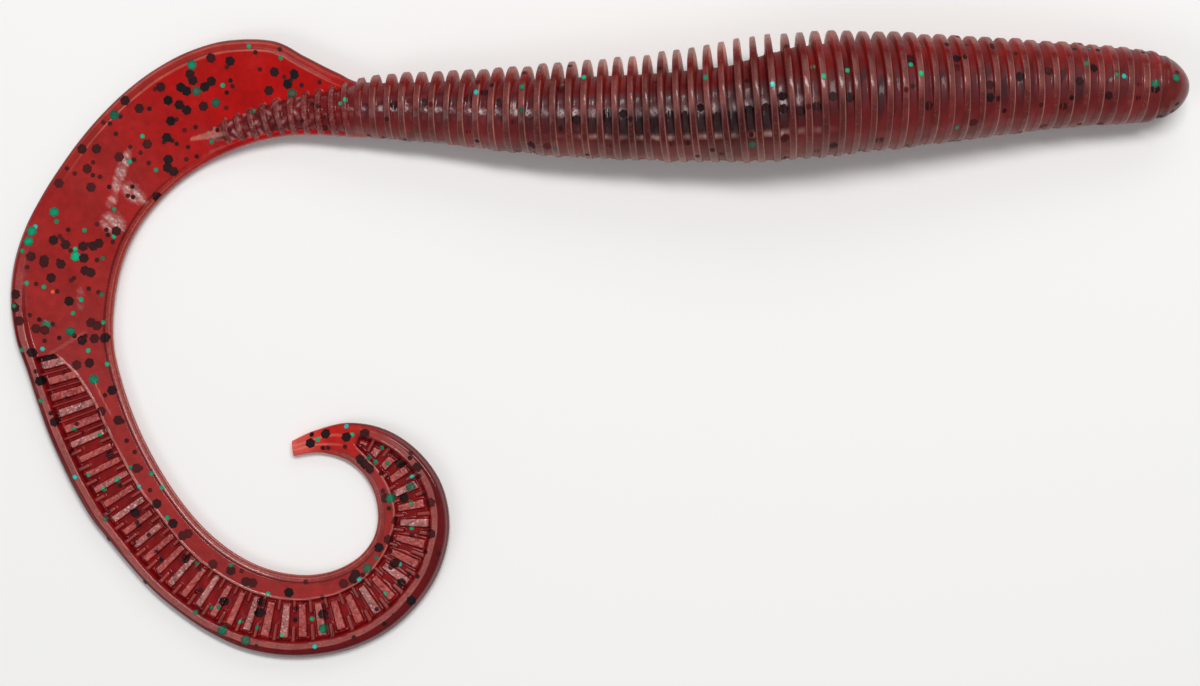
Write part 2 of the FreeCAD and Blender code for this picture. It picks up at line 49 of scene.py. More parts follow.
BODY = np.array([
    (-36.0, 31.9, 4.00, 2.95), (-31.93, 32.20, 4.24, 3.05), (-26.63, 32.21, 4.47, 3.18), (-20.01, 32.03, 4.90, 3.45),
    (-13.38, 31.73, 5.53, 3.78), (-6.76, 31.62, 6.11, 4.04), (-0.13, 31.65, 6.58, 4.31),
    (6.49, 31.78, 7.01, 4.44), (13.12, 32.15, 7.54, 4.57), (19.74, 32.68, 8.10, 4.70),
    (26.37, 33.22, 8.31, 4.84), (32.99, 33.69, 8.07, 4.84), (39.62, 34.02, 7.59, 4.90),
    (46.24, 34.32, 6.99, 5.00), (52.87, 34.65, 6.38, 5.02), (59.49, 34.90, 5.85, 4.92),
    (66.12, 34.96, 5.32, 4.62), (72.74, 34.85, 4.77, 4.25), (75.4, 34.8, 4.10, 4.05), (79.0, 34.80, 3.4, 3.4)])

STEM = np.array([
    (-27.0, 32.2, 4.3), (-32.59, 31.91, 3.95), (-37.50, 31.58, 3.15), (-42.17, 31.21, 2.62), (-44.76, 30.63, 2.36),
    (-48.45, 29.60, 2.05), (-50.51, 29.08, 1.74), (-52.58, 28.63, 1.25), (-55.40, 28.05, 0.12)])

TAIL = np.array([
    (0.00, -32.60, 35.84, -32.60, 28.22), (3.88, -35.78, 37.10, -37.46, 28.48),
    (7.75, -39.67, 39.09, -41.80, 28.48), (11.63, -43.96, 41.21, -45.37, 27.88),
    (15.50, -50.05, 41.37, -47.24, 27.41), (19.38, -55.20, 40.07, -49.80, 26.53),
    (23.25, -59.81, 37.84, -52.47, 25.36), (27.13, -63.79, 35.04, -55.15, 23.81),
    (31.01, -67.25, 31.79, -57.69, 21.90), (34.88, -70.31, 28.26, -60.00, 19.64),
    (38.76, -73.02, 24.53, -62.02, 17.08), (42.63, -75.52, 20.61, -63.63, 14.25),
    (46.51, -77.73, 16.30, -64.72, 11.39), (50.38, -79.28, 11.45, -65.38, 8.66),
    (54.26, -79.76, 6.32, -65.78, 5.95), (58.14, -79.10, 1.24, -65.97, 3.14),
    (62.01, -77.58, -3.18, -65.78, -0.15), (65.89, -76.32, -7.16, -64.95, -3.78),
    (69.76, -74.86, -11.28, -63.91, -7.14), (73.64, -73.12, -15.22, -62.60, -10.48),
    (77.51, -71.26, -19.05, -61.04, -13.75), (81.39, -68.98, -22.97, -59.39, -16.67),
    (85.27, -66.24, -26.39, -57.47, -19.62), (89.14, -63.55, -29.64, -55.22, -22.52),
    (93.02, -60.42, -32.97, -52.93, -24.93), (96.89, -56.87, -35.89, -50.39, -27.01),
    (100.77, -52.95, -38.48, -47.65, -28.67), (104.64, -48.43, -40.56, -44.94, -29.77),
    (108.52, -43.44, -41.58, -42.22, -30.38), (112.40, -38.38, -41.51, -39.39, -30.53),
    (116.27, -33.33, -40.39, -36.69, -30.10), (120.15, -28.56, -37.99, -34.32, -29.13),
    (124.02, -24.62, -34.28, -32.31, -27.65), (127.90, -21.78, -29.59, -30.89, -25.67),
    (131.77, -20.57, -24.02, -30.29, -23.54), (135.65, -21.60, -18.40, -30.32, -21.33),
    (139.53, -24.74, -13.91, -31.00, -18.89), (143.40, -29.15, -10.95, -32.51, -16.59),
    (147.28, -34.17, -10.01, -34.92, -14.86), (151.15, -38.80, -11.07, -38.19, -14.08),
    (154.60, -41.99, -12.53, -41.79, -14.57)])
TAIL_LEN = TAIL[-1, 0]
TOTAL = BODY_LEN + TAIL_LEN
MID_Z = np.array([(-8.0, 4.42), (-6.0, 4.32), (0.0, 3.98), (4.7, 3.34), (9.0, 2.86), (12.0, 2.58), (16.0, 2.22),
                  (20.0, 1.76), (24.0, 1.22), (27.0, 1.00), (30.0, 0.95), (160.0, 0.95)])

RING_PITCH, RING_FIRST, RING_COUNT = 2.02, -31.93, 53
STEM_PITCH = 1.86
RUNG_AT = np.array([61.8 + 2.13 * k for k in range(21)] + [
    106.6, 108.8, 111.0, 113.3, 115.6, 117.85, 120.15, 122.5, 124.95, 127.3,
    129.7, 132.1, 134.35, 136.7, 138.8, 140.9, 143.0, 144.9])
# distances in from the tail's outer edge, by length along it: the bead's crest, the
# trough, the ends of the cross ribs, and of the short ribs from each side
CREST = [(45, 1.25), (60, 1.42), (80, 1.52), (90, 1.26), (100, 1.32), (105, 1.60), (115, 1.78), (120, 1.92), (130, 2.02),
         (135, 1.70), (140, 1.37), (150, 0.9)]
TROUGH_OUT = [(57, 2.35), (80, 2.45), (90, 2.25), (100, 2.25), (110, 2.5), (120, 2.85), (130, 2.75), (143, 2.5), (150, 2.0)]
TROUGH_IN = [(57, 4.4), (60.7, 4.6), (62, 5.3), (64, 6.4), (66, 6.95), (68, 7.4), (70, 7.6), (75, 7.8), (80, 7.85),
             (90, 7.5), (95, 7.4), (105, 7.8), (115, 7.7), (130, 7.55), (133, 7.15), (137, 6.45), (140, 5.6),
             (143, 4.7), (145, 3.6), (146, 3.0), (150, 2.4)]
RUNG_OUT = [(57, 2.45), (72, 2.5), (80, 2.65), (88, 2.4), (100, 2.4), (110, 2.7), (120, 3.0), (130, 2.9), (143, 2.75), (145, 2.35)]
RUNG_IN = [(61.8, 5.2), (63.9, 6.3), (66.1, 6.8), (68.2, 7.2), (75, 7.3), (80, 7.4), (85, 7.0), (90, 6.9), (100, 7.0),
           (106, 7.2), (115, 6.9), (130, 6.8), (134.3, 6.4), (136.7, 6.0), (138.8, 5.4), (140.9, 4.6), (143.0, 3.75),
           (144.9, 2.85)]
STUB_OUT = [(60, 4.7), (71, 4.7), (73, 3.5), (100, 3.5), (108, 4.3), (130, 4.2), (143, 3.4)]
STUB_IN = [(60, 4.6), (71, 4.6), (73, 6.2), (100, 6.2), (110, 6.0), (130, 6.1), (137, 5.5), (143, 4.3)]
LADDER0, LADDER1 = 60.7, 145.9

rng = np.random.default_rng(53)
ring_x = RING_FIRST + RING_PITCH * np.arange(RING_COUNT)
ring_jit = rng.normal(0, 0.020, RING_COUNT)
ring_amp = 1 + rng.normal(0, 0.010, RING_COUNT)
ring_ph = rng.uniform(0, 2 * math.pi, (RING_COUNT, 3))


def sstep(a, b, x):
    t = np.clip((x - a) / (b - a), 0, 1)
    return t * t * (3 - 2 * t)


def bump(c, h, x):
    """1 at c, falling smoothly to 0 at c - h and c + h."""
    t = np.clip(np.abs(x - c) / h, 0, 1)
    return (1 - t * t) ** 2


def cubic(rows, key, x):
    """Cubic through the rows of a table, at every x."""
    X, Y = rows[:, 0], rows[:, key]
    k = np.clip(np.searchsorted(X, x, side="right") - 1, 0, len(X) - 2)
    m = np.empty(len(X))
    m[1:-1] = (Y[2:] - Y[:-2]) / (X[2:] - X[:-2])
    m[0] = (Y[1] - Y[0]) / (X[1] - X[0])
    m[-1] = (Y[-1] - Y[-2]) / (X[-1] - X[-2])
    h = X[k + 1] - X[k]
    t = np.clip((x - X[k]) / h, 0, 1)
    return ((2 * t**3 - 3 * t**2 + 1) * Y[k] + (t**3 - 2 * t**2 + t) * h * m[k]
            + (3 * t**2 - 2 * t**3) * Y[k + 1] + (t**3 - t**2) * h * m[k + 1])


def wave(x, y, seed):
    """A cheap smooth noise of unit size, periodic in nothing in particular."""
    r = np.random.default_rng(seed)
    out = 0.0
    for _ in range(5):
        fx, fy, p = r.uniform(0.5, 1.7), r.uniform(0.5, 1.7), r.uniform(0, 6.28)
        out = out + np.sin(fx * x + fy * y + p)
    return out / 2.2


# ---- the body ----------------------------------------------------------------
def ring_profile(o):
    """Height of a ring, 0 to 1, at distance o from its middle."""
    return np.interp(np.abs(o), [0, 0.25, 0.32, 0.37, 0.41, 0.45, 0.485, 0.53, 0.61, 3],
                     [1.0, 1.0, 0.985, 0.945, 0.86, 0.62, 0.32, 0.12, 0.0, 0.0])


def bulk(x):
    """1 over the thick middle of the body, where the slots are deepest."""
    return sstep(-14, 4, x) * (1 - sstep(19, 33, x))


def slot_fill(x, co):
    """How far the slots are closed, 0 to 1, by place along the body and round it: deep
    towards +Y, shallow over the top, and almost closed on the far side."""
    m = bulk(x)
    side = np.interp(x, [-30, 17, 26, 40, 60, 73], [0.0, 0.0, 0.45, 0.60, 0.64, 0.66])
    top = 0.72 - 0.27 * m
    low = 0.93
    f = side + (top - side) * sstep(0.95, 0.10, co)
    return f + (low - f) * sstep(0.15 - 0.30 * m, -0.62 - 0.15 * m, co)


def body_radius(x, phi):
    """Radius of the ringed body at x, angle phi, with its ring number and ring height."""
    crest, core = cubic(BODY, 2, x), cubic(BODY, 3, x)
    k = np.clip(np.round((x - RING_FIRST) / RING_PITCH).astype(int), 0, RING_COUNT - 1)
    wob = (0.030 * np.sin(phi + ring_ph[k, 0]) + 0.016 * np.sin(2 * phi + ring_ph[k, 1])
           + 0.010 * np.sin(5 * phi + ring_ph[k, 2]))
    o = x - ring_x[k] - ring_jit[k] - wob
    h = ring_profile(o)
    h = h * np.where(x < RING_FIRST - RING_PITCH / 2, 0.0, 1.0) * np.where(x > ring_x[-1] + RING_PITCH / 2, 0.0, 1.0)
    # in front of the last ring: one faint shallow ring, then the dome
    nose = np.where(x > 73.9, np.sqrt(np.clip(1 - ((x - 73.9) / (NOSE_X - 73.9)) ** 2, 0, 1)), 1.0)
    faint = 0.10 * bump(74.9, 0.5, x)
    # the slots are shallow on the side turned away from +Y
    fill = slot_fill(x, np.cos(phi))
    r = core * nose + (crest * ring_amp[k] - core) * (h + (1 - h) * fill * (x < 73.2)) + faint
    ease = sstep(0, 1, h)
    r = r + 0.030 * (1 - ease) * wave(x * 1.7, phi * 3, 5)
    return r, k, h


def body_point(s, q):
    x = NOSE_X - s
    phi = math.pi * q
    r, k, h = body_radius(x, phi)
    cy, cz = cubic(BODY, 1, x), cubic(BODY, 2, x) + 0.02
    cz = np.where(x > 73.0, cubic(BODY, 2, np.full_like(x, 73.0)) + 0.02, cz)
    # tilt the rings square to the axis
    e = 0.5
    ty = (cubic(BODY, 1, x + e) - cubic(BODY, 1, x - e)) / (2 * e)
    tz = np.where(x > 73.0, 0, (cubic(BODY, 2, x + e) - cubic(BODY, 2, x - e)) / (2 * e))
    dy, dz = r * np.cos(phi), r * np.sin(phi)
    px = x - (ty * dy + tz * dz)
    pz = cz + dz
    pz = np.where(pz < 0.14, 0.02 + 0.12 * np.exp((pz - 0.14) / 0.12), pz)     # pressed on the surface
    return np.stack([px, cy + dy, pz], -1), k, h


# ---- the tail ----------------------------------------------------------------
_l = np.linspace(0, 1, 900)
_sl = np.r_[0, np.cumsum(np.hypot(np.diff(STEM[:, 0]), np.diff(STEM[:, 1])))]
_stem_tab = np.c_[_sl, STEM]
_ss = _l * _sl[-1]
STEM_P = np.c_[cubic(_stem_tab, 1, _ss), cubic(_stem_tab, 2, _ss)]
STEM_R = cubic(_stem_tab, 3, _ss)
STEM_S0 = _sl[1]                     # the stem's own length at the tail's root


def tail_edges(l):
    lc = np.clip(l, 0, TAIL_LEN)
    o = np.stack([cubic(TAIL, 1, lc), cubic(TAIL, 2, lc)], -1)
    i = np.stack([cubic(TAIL, 3, lc), cubic(TAIL, 4, lc)], -1)
    back = np.where(l < 0, -l, 0)[..., None] * np.array([1.0, 0.0])
    return o + back, i + back


def row(rows, l):
    return np.interp(l, [r[0] for r in rows], [r[1] for r in rows])


def stem_at(xy):
    """For points xy: length along the stem's axis and distance from it."""
    flat = xy.reshape(-1, 2)
    s = np.empty(len(flat))
    d = np.empty(len(flat))
    for a in range(0, len(flat), 20000):
        c = flat[a:a + 20000]
        dd = np.hypot(c[:, None, 0] - STEM_P[None, :, 0], c[:, None, 1] - STEM_P[None, :, 1])
        j = dd.argmin(1)
        s[a:a + 20000] = _ss[j]
        d[a:a + 20000] = dd[np.arange(len(c)), j]
    return s.reshape(xy.shape[:-1]), d.reshape(xy.shape[:-1])


def stem_ring(s):
    """Ring height along the stem, 0 to 1, and the distance from the ring's middle."""
    t = s - STEM_S0 - 1.25
    k = np.round(t / STEM_PITCH)
    o = t - k * STEM_PITCH
    h = np.interp(np.abs(o), [0, 0.24, 0.33, 0.40, 0.47, 0.54, 3], [1, 0.98, 0.88, 0.6, 0.2, 0.0, 0.0])
    return h * (k >= 0) * (s < _sl[-1] - 4.6), o


MIDS = np.r_[RUNG_AT[0] - 1.0, (RUNG_AT[:-1] + RUNG_AT[1:]) / 2, RUNG_AT[-1] + 1.0]


def rung_at(l):
    """Distance along the tail from the nearest cross rib, its number, and the distance
    from the middle of the nearest groove."""
    k = np.abs(l[..., None] - RUNG_AT).argmin(-1)
    m = np.abs(l[..., None] - MIDS).argmin(-1)
    return l - RUNG_AT[k], k, l - MIDS[m], m


def tail_shape(l, v):
    """Top and bottom heights of the tail, and the masks its colours use."""
    o, i = tail_edges(l)
    w = np.hypot(*(np.moveaxis(i - o, -1, 0)))
    xy = o + (i - o) * v[..., None]
    zm = np.interp(l, MID_Z[:, 0], MID_Z[:, 1])
    zm = (zm + np.interp(l - 1.2, MID_Z[:, 0], MID_Z[:, 1]) + np.interp(l + 1.2, MID_Z[:, 0], MID_Z[:, 1])) / 3
    do, di = v * w, (1 - v) * w
    tip = sstep(142.5, 154.6, l)
    half_t = 0.95 * (1 - 0.36 * tip)
    re = np.minimum(0.95, 0.45 * w)
    edge = np.minimum(do, di)
    roll = np.sqrt(np.clip(1 - (1 - np.clip(edge / re, 0, 1)) ** 2, 0, 1))
    top = zm + half_t * roll
    bot = zm - half_t * roll
    # raised rim of the web
    web_rim = sstep(1.5, 6.5, l) * (1 - sstep(25, 38, l)) * 0.20
    top = top + web_rim * bump(1.02, 0.62, do)
    # outer bead: rises where the paddle ends and runs to the tip
    d = do / 1.018
    beadk = sstep(44, 60, l) * (1 - sstep(139.5, 147, l))
    c = row(CREST, l)
    t0, t1 = row(TROUGH_OUT, l), row(TROUGH_IN, l)
    bead_top = 0.52
    bead = beadk * bead_top * sstep(0.10, 0.62, d) * (1 - sstep(c + 0.30, t0 + 0.1, d))
    top = top + bead
    # inner rim of the ribbon, a low rounded shoulder
    rim_k = sstep(18, 40, l) * (1 - sstep(146, 152, l))
    top = top - 0.30 * rim_k * (1 - sstep(0.84, 1.04, di)) * sstep(0.0, 0.2, di)
    # the ladder: a trough with cross ribs in its middle and short ribs from its sides
    on = sstep(LADDER0 - 0.12, LADDER0 + 0.10, l) * (1 - sstep(LADDER1 - 0.3, LADDER1 + 0.3, l))
    o_, k, g, gk = rung_at(l)
    jit = 0.10 * np.sin(k * 2.3)
    r0, r1 = row(RUNG_OUT, l) + jit, row(RUNG_IN, l) + 0.12 * np.sin(k * 1.9 + 1)
    half = np.where((l < 72) | (l > 105), 0.50, 0.43) + 0.02 * np.sin(k * 5.1)
    floor_ = 1.18 + 0.04 * np.sin(gk * 2.1) + 0.018 * wave(l * 2.2, d * 2.5, 4)
    crest_z = zm + half_t * roll + bead
    fall = sstep(c + 0.42, t0 + 0.12, d)
    climb = sstep(t1 - 0.42, t1 - 0.06, d)
    lad = crest_z * (1 - fall) + floor_ * fall
    lad = lad * (1 - climb) + (zm + half_t * roll) * climb
    rung = (1 - sstep(half - 0.07, half + 0.07, np.abs(o_))) * sstep(r0 - 0.09, r0 + 0.07, d) * (1 - sstep(r1 - 0.07, r1 + 0.09, d))
    rung_top = 1.86 + 0.05 * np.sin(k * 1.7) + 0.022 * wave(l * 6.1, d * 5, 9)
    lad = np.where(rung > 0, np.maximum(lad, floor_ + (rung_top - floor_) * rung), lad)
    thin = 1 - sstep(70.5, 72.5, l)
    sw = 0.205 * (1 - thin) + 0.12 * thin
    side_rib = 1 - sstep(sw - 0.05, sw + 0.06, np.abs(g + 0.03 * np.sin(gk * 3.3)))
    so, si = row(STUB_OUT, l) + 0.18 * np.sin(gk * 2.7), row(STUB_IN, l) + 0.16 * np.sin(gk * 4.1)
    reach = np.maximum(1 - sstep(so - 0.07, so + 0.07, d), sstep(si - 0.07, si + 0.07, d))
    stubm = side_rib * reach * sstep(c + 0.45, c + 0.65, d) * (1 - sstep(t1 - 0.1, t1 + 0.02, d)) * (l > LADDER0 + 0.5)
    stub_top = np.where(thin > 0.5, 1.52, 1.70)
    lad = np.maximum(lad, floor_ + (stub_top - floor_) * stubm)
    inside = (d > c + 0.30) * (d < t1) * on
    zone = np.where((d > c + 0.30) & (d < t1 + 0.02), on, 0.0)
    top = top * (1 - zone) + lad * zone
    # fine raised line along the trough's inner side
    line_k = sstep(60, 62, l) * (1 - sstep(144, 146.5, l))
    line = bump(t1 + 0.06, 0.15, d) * line_k
    top = top + 0.12 * line
    # a short thin line beside it, where the trough has opened out
    line2 = bump(np.interp(l, [65.4, 70.8], [8.35, 8.95]), 0.12, d) * sstep(65.2, 66.0, l) * (1 - sstep(70.2, 71.2, l))
    top = top + 0.05 * line2
    # the fold that runs from the trough's start across the paddle
    ax, ay, bx, by = -74.55, -0.95, -69.0, 2.45
    px_, py_ = xy[..., 0] - ax, xy[..., 1] - ay
    ln = math.hypot(bx - ax, by - ay)
    along = (px_ * (bx - ax) + py_ * (by - ay)) / ln
    across = (-px_ * (by - ay) + py_ * (bx - ax)) / ln
    fold = bump(0.0, 0.45, across) * sstep(-0.6, 0.6, along) * (1 - sstep(ln - 1.5, ln + 1.2, along))
    top = top + 0.13 * fold
    # two shallow arcs in the paddle
    for cx, cy, rr, a0, a1, amp in ((-72.7, 7.7, 3.35, -2.55, -1.25, 0.035), (-72.0, 7.4, 4.7, -2.3, -1.05, 0.045)):
        rad = np.hypot(xy[..., 0] - cx, xy[..., 1] - cy)
        ang = np.arctan2(xy[..., 1] - cy, xy[..., 0] - cx)
        top = top + amp * bump(rr, 0.20, rad) * sstep(a0 - 0.15, a0 + 0.1, ang) * (1 - sstep(a1 - 0.1, a1 + 0.15, ang))
    # slow unevenness of a soft casting
    soft = 0.035 * wave(xy[..., 0] * 0.55, xy[..., 1] * 0.55, 2) * roll
    top = top + soft * (1 - inside)
    # the round stem in the web
    ss, dd = stem_at(xy)
    rs = np.interp(ss, _ss, STEM_R)
    hr, _ = stem_ring(ss)
    core = rs * 0.80
    rad = core + (rs - core) * hr
    near = (ss < _sl[-1] - 0.02)
    rod = np.sqrt(np.clip(rad * rad - dd * dd, 0, None)) * near
    rod_core = np.sqrt(np.clip(core * core - dd * dd, 0, None)) * near
    k_ = 0.10
    top2 = np.logaddexp((top - zm) / k_, rod / k_) * k_ + zm
    bot2 = zm - np.logaddexp((zm - bot) / k_, rod / k_) * k_
    use = (rod > 0.02) & near
    top = np.where(use, top2, top)
    bot = np.where(use, bot2, bot)
    bot = np.where(bot < 0.10, 0.02 + 0.08 * np.exp((np.minimum(bot, 0.10) - 0.10) / 0.08), bot)
    top = np.maximum(top, bot + 0.02 * roll)
    masks = dict(w=w, do=do, di=di, d=d, c=c, t0=t0, t1=t1, roll=roll, inside=inside * 1.0, rung=rung * on, fall=fall,
                 climb=climb, stubm=stubm * on, line=line, line2=line2, beadk=beadk, rod=rod,
                 rodk=np.where(use & (rod > half_t * 0.8), 1.0, 0.0), hr=hr, ss=ss, dd=dd, rs=rs, rim_k=rim_k,
                 web_rim=web_rim, fold=fold, k=k, tip=tip, r0=r0, r1=r1)
    return xy, top, bot, masks


def tail_point(s, q, want=False):
    l = s - BODY_LEN
    v = np.where(q <= 1, q, 2 - q)
    v = np.clip(v, 0, 1)
    xy, top, bot, m = tail_shape(l, v)
    z = np.where(q <= 1, top, bot)
    p = np.concatenate([xy, z[..., None]], -1)
    return (p, m) if want else p


def surface(s, q, want=False):
    """Point of the worm's surface, in millimetres, with the masks its colours use."""
    s, q = np.broadcast_arrays(np.asarray(s, float), np.asarray(q, float))
    q = np.mod(q, 2.0)
    shape = s.shape
    s, q = s.ravel(), q.ravel()
    P = np.zeros((len(s), 3))
    wt = sstep(-4.5, 3.5, s - BODY_LEN)
    k = np.zeros(len(s), int)
    h = np.zeros(len(s))
    b = wt < 1
    t = wt > 0
    if b.any():
        pb, kb, hb = body_point(s[b], q[b])
        P[b] += pb * (1 - wt[b])[:, None]
        k[b], h[b] = kb, hb
    masks = None
    if t.any():
        pt, masks = tail_point(s[t], q[t], True)
        P[t] += pt * wt[t][:, None]
    P[:, 0] += SX
    P[:, 1] += SY
    P = P.reshape(shape + (3,))
    if want:
        return P, dict(k=k.reshape(shape), h=h.reshape(shape), wt=wt.reshape(shape), t=t.reshape(shape), tail=masks)
    return P


# ---- stations ------------------------------------------------------------------
def slot_s(x):
    """The middle of the slot nearest to x, as s."""
    k = np.round((x - RING_FIRST) / RING_PITCH - 0.5)
    return NOSE_X - (RING_FIRST + RING_PITCH * (k + 0.5))


CUTS = [0.0] + [float(slot_s(x)) for x in (55.5, 37.65, 18.45, -1.1, -19.0)] \
    + [BODY_LEN + l for l in (4.85, 26.0, 48.5, 68.25, 86.0, 101.25, 114.5, 131.75)] + [TOTAL]
JOINTS = ["shoulder_bend", "belly_bend", "waist_bend", "hip_bend", "neck_bend", "tail_root_bend", "web_lift",
          "paddle_turn", "ribbon_lift", "ribbon_turn", "sweep_lift", "hook_turn", "curl_turn", "tip_lift"]

off = [0.0, 0.25, 0.32, 0.37, 0.41, 0.45, 0.485, 0.53, 0.62, 0.80, 1.01]
off = sorted(set([-o for o in off] + off))
st = []
for x in ring_x:
    st += [NOSE_X - (x + o) for o in off if o > -1.0]
st = [a for a in st if a > 78.2 - 74.2]
dome = NOSE_X - 73.95
st += list(NOSE_X - (73.9 + (NOSE_X - 73.9) * np.sin(np.linspace(0.02, 1.0, 22) * math.pi / 2 * 0.985)))
st += [NOSE_X - a for a in (74.3, 74.6, 74.9, 75.2, 75.5)]
st += list(np.arange(BODY_LEN - 0.6, BODY_LEN + 24.5, 0.115))
st += list(np.arange(BODY_LEN + 24.5, BODY_LEN + 60.0, 0.30))
for c in RUNG_AT:
    st += [BODY_LEN + c + o for o in (-0.58, -0.50, -0.42, -0.34, -0.17, 0.0, 0.17, 0.34, 0.42, 0.50, 0.58)]
for c in MIDS:
    st += [BODY_LEN + c + o for o in (-0.27, -0.20, -0.13, -0.05, 0.05, 0.13, 0.20, 0.27)]
st += list(BODY_LEN + np.array([60.1, 60.4, 60.55, 60.65, 60.75, 60.85, 61.0]))
st += list(np.arange(BODY_LEN + 144.0, TOTAL - 0.6, 0.2))
st += [TOTAL - 0.5, TOTAL - 0.35, TOTAL - 0.2]
st = np.unique(np.round(np.array(st), 4))
st = st[(st > 0.02) & (st < TOTAL - 0.05)]
keep = [st[0]]
for a in st[1:]:
    if a - keep[-1] > 0.035:
        keep.append(a)
st = np.array(keep)

HALF = 84
_t = np.linspace(0, 1, HALF + 1)
_q = 0.62 * _t + 0.38 * (1 - np.cos(math.pi * _t)) / 2
Q = np.r_[_q, 1 + _q[1:-1]]
M = len(Q)


# ---- colours -------------------------------------------------------------------
def lin(*c):
    c = np.array(c, float) / 255
    return np.where(c <= 0.04045, c / 12.92, ((c + 0.055) / 1.055) ** 2.4)


def mix(a, b, t):
    t = np.clip(t, 0, 1)[..., None]
    return a * (1 - t) + b * t


def ramp(t, stops):
    """Colours along t, from stops of (t, red, green, blue) in rising t."""
    a = np.array([r[0] for r in stops], float)
    c = np.array([lin(*r[1:]) for r in stops])
    return np.stack([np.interp(t, a, c[:, i]) for i in range(3)], -1)


def colours(s, q, P, info):
    """Colour of the plastic at each point, and how frosted it is.  Light and shade are painted in:
    thin places are bright with painted light let through, deep places dark with painted shade,
    and crests and rims carry a painted sheen veil, with painted highlights and shadows."""
    s, q = np.broadcast_arrays(s, q)
    n = s.size
    q = np.mod(q.ravel(), 2.0)
    s = s.ravel()
    x = NOSE_X - s
    h = info["h"].ravel()
    wt = info["wt"].ravel()
    phi = math.pi * q
    co = np.cos(phi)
    # the ringed body: the floor of the slots, the rings' walls, and their flat crests,
    # each by its place round the section, for the thick rear half and the slim front half
    k = info["k"].ravel()
    o = x - ring_x[k]
    fr = 1 - bulk(x)
    r_here = cubic(BODY, 3, x) + (cubic(BODY, 2, x) - cubic(BODY, 3, x)) * np.maximum(h, slot_fill(x, co))
    yy = r_here * co / cubic(BODY, 2, x)                 # place across the body, -1 to 1
    # painted light and shade round the slot floor: a red-brown painted floor shadow at the -Y edge, darker painted
    # shade low down, a grey painted sheen over the top, and brighter red towards +Y, painted light coming through
    slot = mix(ramp(yy, [(-0.99, 136, 72, 57), (-0.92, 114, 40, 31), (-0.78, 94, 28, 25), (-0.69, 80, 14, 15), (-0.58, 50, 9, 13), (-0.28, 40, 10, 16),
                         (-0.17, 116, 80, 81), (0.00, 100, 60, 62), (0.14, 92, 34, 38), (0.26, 106, 10, 12), (0.55, 124, 7, 7)]),
               ramp(yy, [(-0.99, 132, 76, 66), (-0.90, 118, 50, 45), (-0.66, 118, 28, 30), (-0.42, 98, 16, 20), (-0.18, 88, 24, 30),
                         (0.06, 92, 34, 38), (0.28, 98, 10, 11), (0.60, 116, 8, 7)]), fr)
    # a dark band low in the slots, stronger on some rings: partly painted shade deep in the slots, partly the dark
    # flakes of the core
    dark = bump(-0.40, 0.24, yy) * (0.60 + 0.40 * np.sin(k * 2.4 + 1)) * (1 - fr)
    slot = mix(slot, lin(26, 11, 18)[None], dark * 0.80)
    blot = sstep(0.30, 0.85, wave(x * 2.1 + 1.2 * np.sin(phi * 5), phi * 5.5, 71)) * bump(-0.10, 0.75, yy) * fr * sstep(73, 66, x)
    slot = mix(slot, lin(38, 14, 22)[None], blot * 0.70)
    # painted reflection: small pale squares low in the slots of the thick half
    pale = bump(-0.625, 0.060, yy) * sstep(-9, 4, x) * sstep(31, 24, x) * (0.65 + 0.35 * np.sin(k * 1.7))
    slot = mix(slot, lin(186, 150, 142)[None], pale * 0.7)
    # the rings' walls: brownish at the -Y edge, dark low down, then bright red and pale pink towards the +Y tips,
    # painted light coming through the thin fins
    wall = mix(ramp(co, [(-0.95, 114, 66, 56), (-0.7, 96, 40, 36), (-0.3, 74, 18, 20), (0.2, 88, 18, 20), (0.5, 138, 17, 15), (0.72, 176, 60, 48), (0.88, 214, 132, 112), (0.97, 216, 150, 130)]),
               ramp(co, [(-0.95, 108, 44, 38), (-0.6, 108, 24, 24), (-0.2, 96, 18, 21), (0.3, 134, 19, 19), (0.80, 168, 34, 28), (0.95, 176, 84, 70)]), fr)
    # painted highlight: broken white glints in the slots, just below the top
    glint = bump(-0.16, 0.11, yy) * sstep(-44, -30, x) * (1 - sstep(22, 30, x)) * (0.55 + 0.45 * np.sin(k * 4.1 + 0.5)) * sstep(0.1, 0.7, 0.5 + 0.5 * wave(x * 6.1, yy * 40, 61))
    slot = mix(slot, lin(226, 208, 208)[None], glint * 0.85)
    body = mix(slot, wall, sstep(0.08, 0.35, h))
    # the crests: a brownish-grey painted sheen, a paler painted highlight band just below the top, deep red where they
    # turn towards +Y, and pale brownish-pink tips there, painted light coming through
    crest = mix(ramp(co, [(-0.98, 128, 68, 54), (-0.86, 108, 40, 32), (-0.62, 82, 25, 23), (-0.30, 80, 28, 28), (-0.09, 126, 74, 70), (0.20, 114, 54, 50),
                          (0.50, 106, 42, 39), (0.57, 98, 9, 9), (0.73, 102, 9, 9), (0.80, 132, 66, 56), (1.0, 140, 86, 74)]),
                ramp(co, [(-0.98, 116, 58, 50), (-0.6, 102, 42, 40), (-0.28, 96, 40, 38), (-0.05, 124, 68, 64), (0.50, 104, 42, 39), (0.60, 104, 15, 13),
                          (0.76, 112, 22, 19), (0.82, 130, 58, 48), (0.99, 128, 60, 50)]), fr)
    crest = mix(crest, lin(60, 24, 30)[None], blot * 0.30)
    # towards the nose, low on the side, the rest of each crest is darkened with painted shade, so only its rear edge is
    # light
    slim = sstep(30, 44, x) * sstep(0.0, 0.5, -co) * sstep(0.16, 0.0, o)
    crest = mix(crest, lin(112, 34, 34)[None], slim * 0.8)
    body = mix(body, crest, sstep(0.90, 0.975, h))
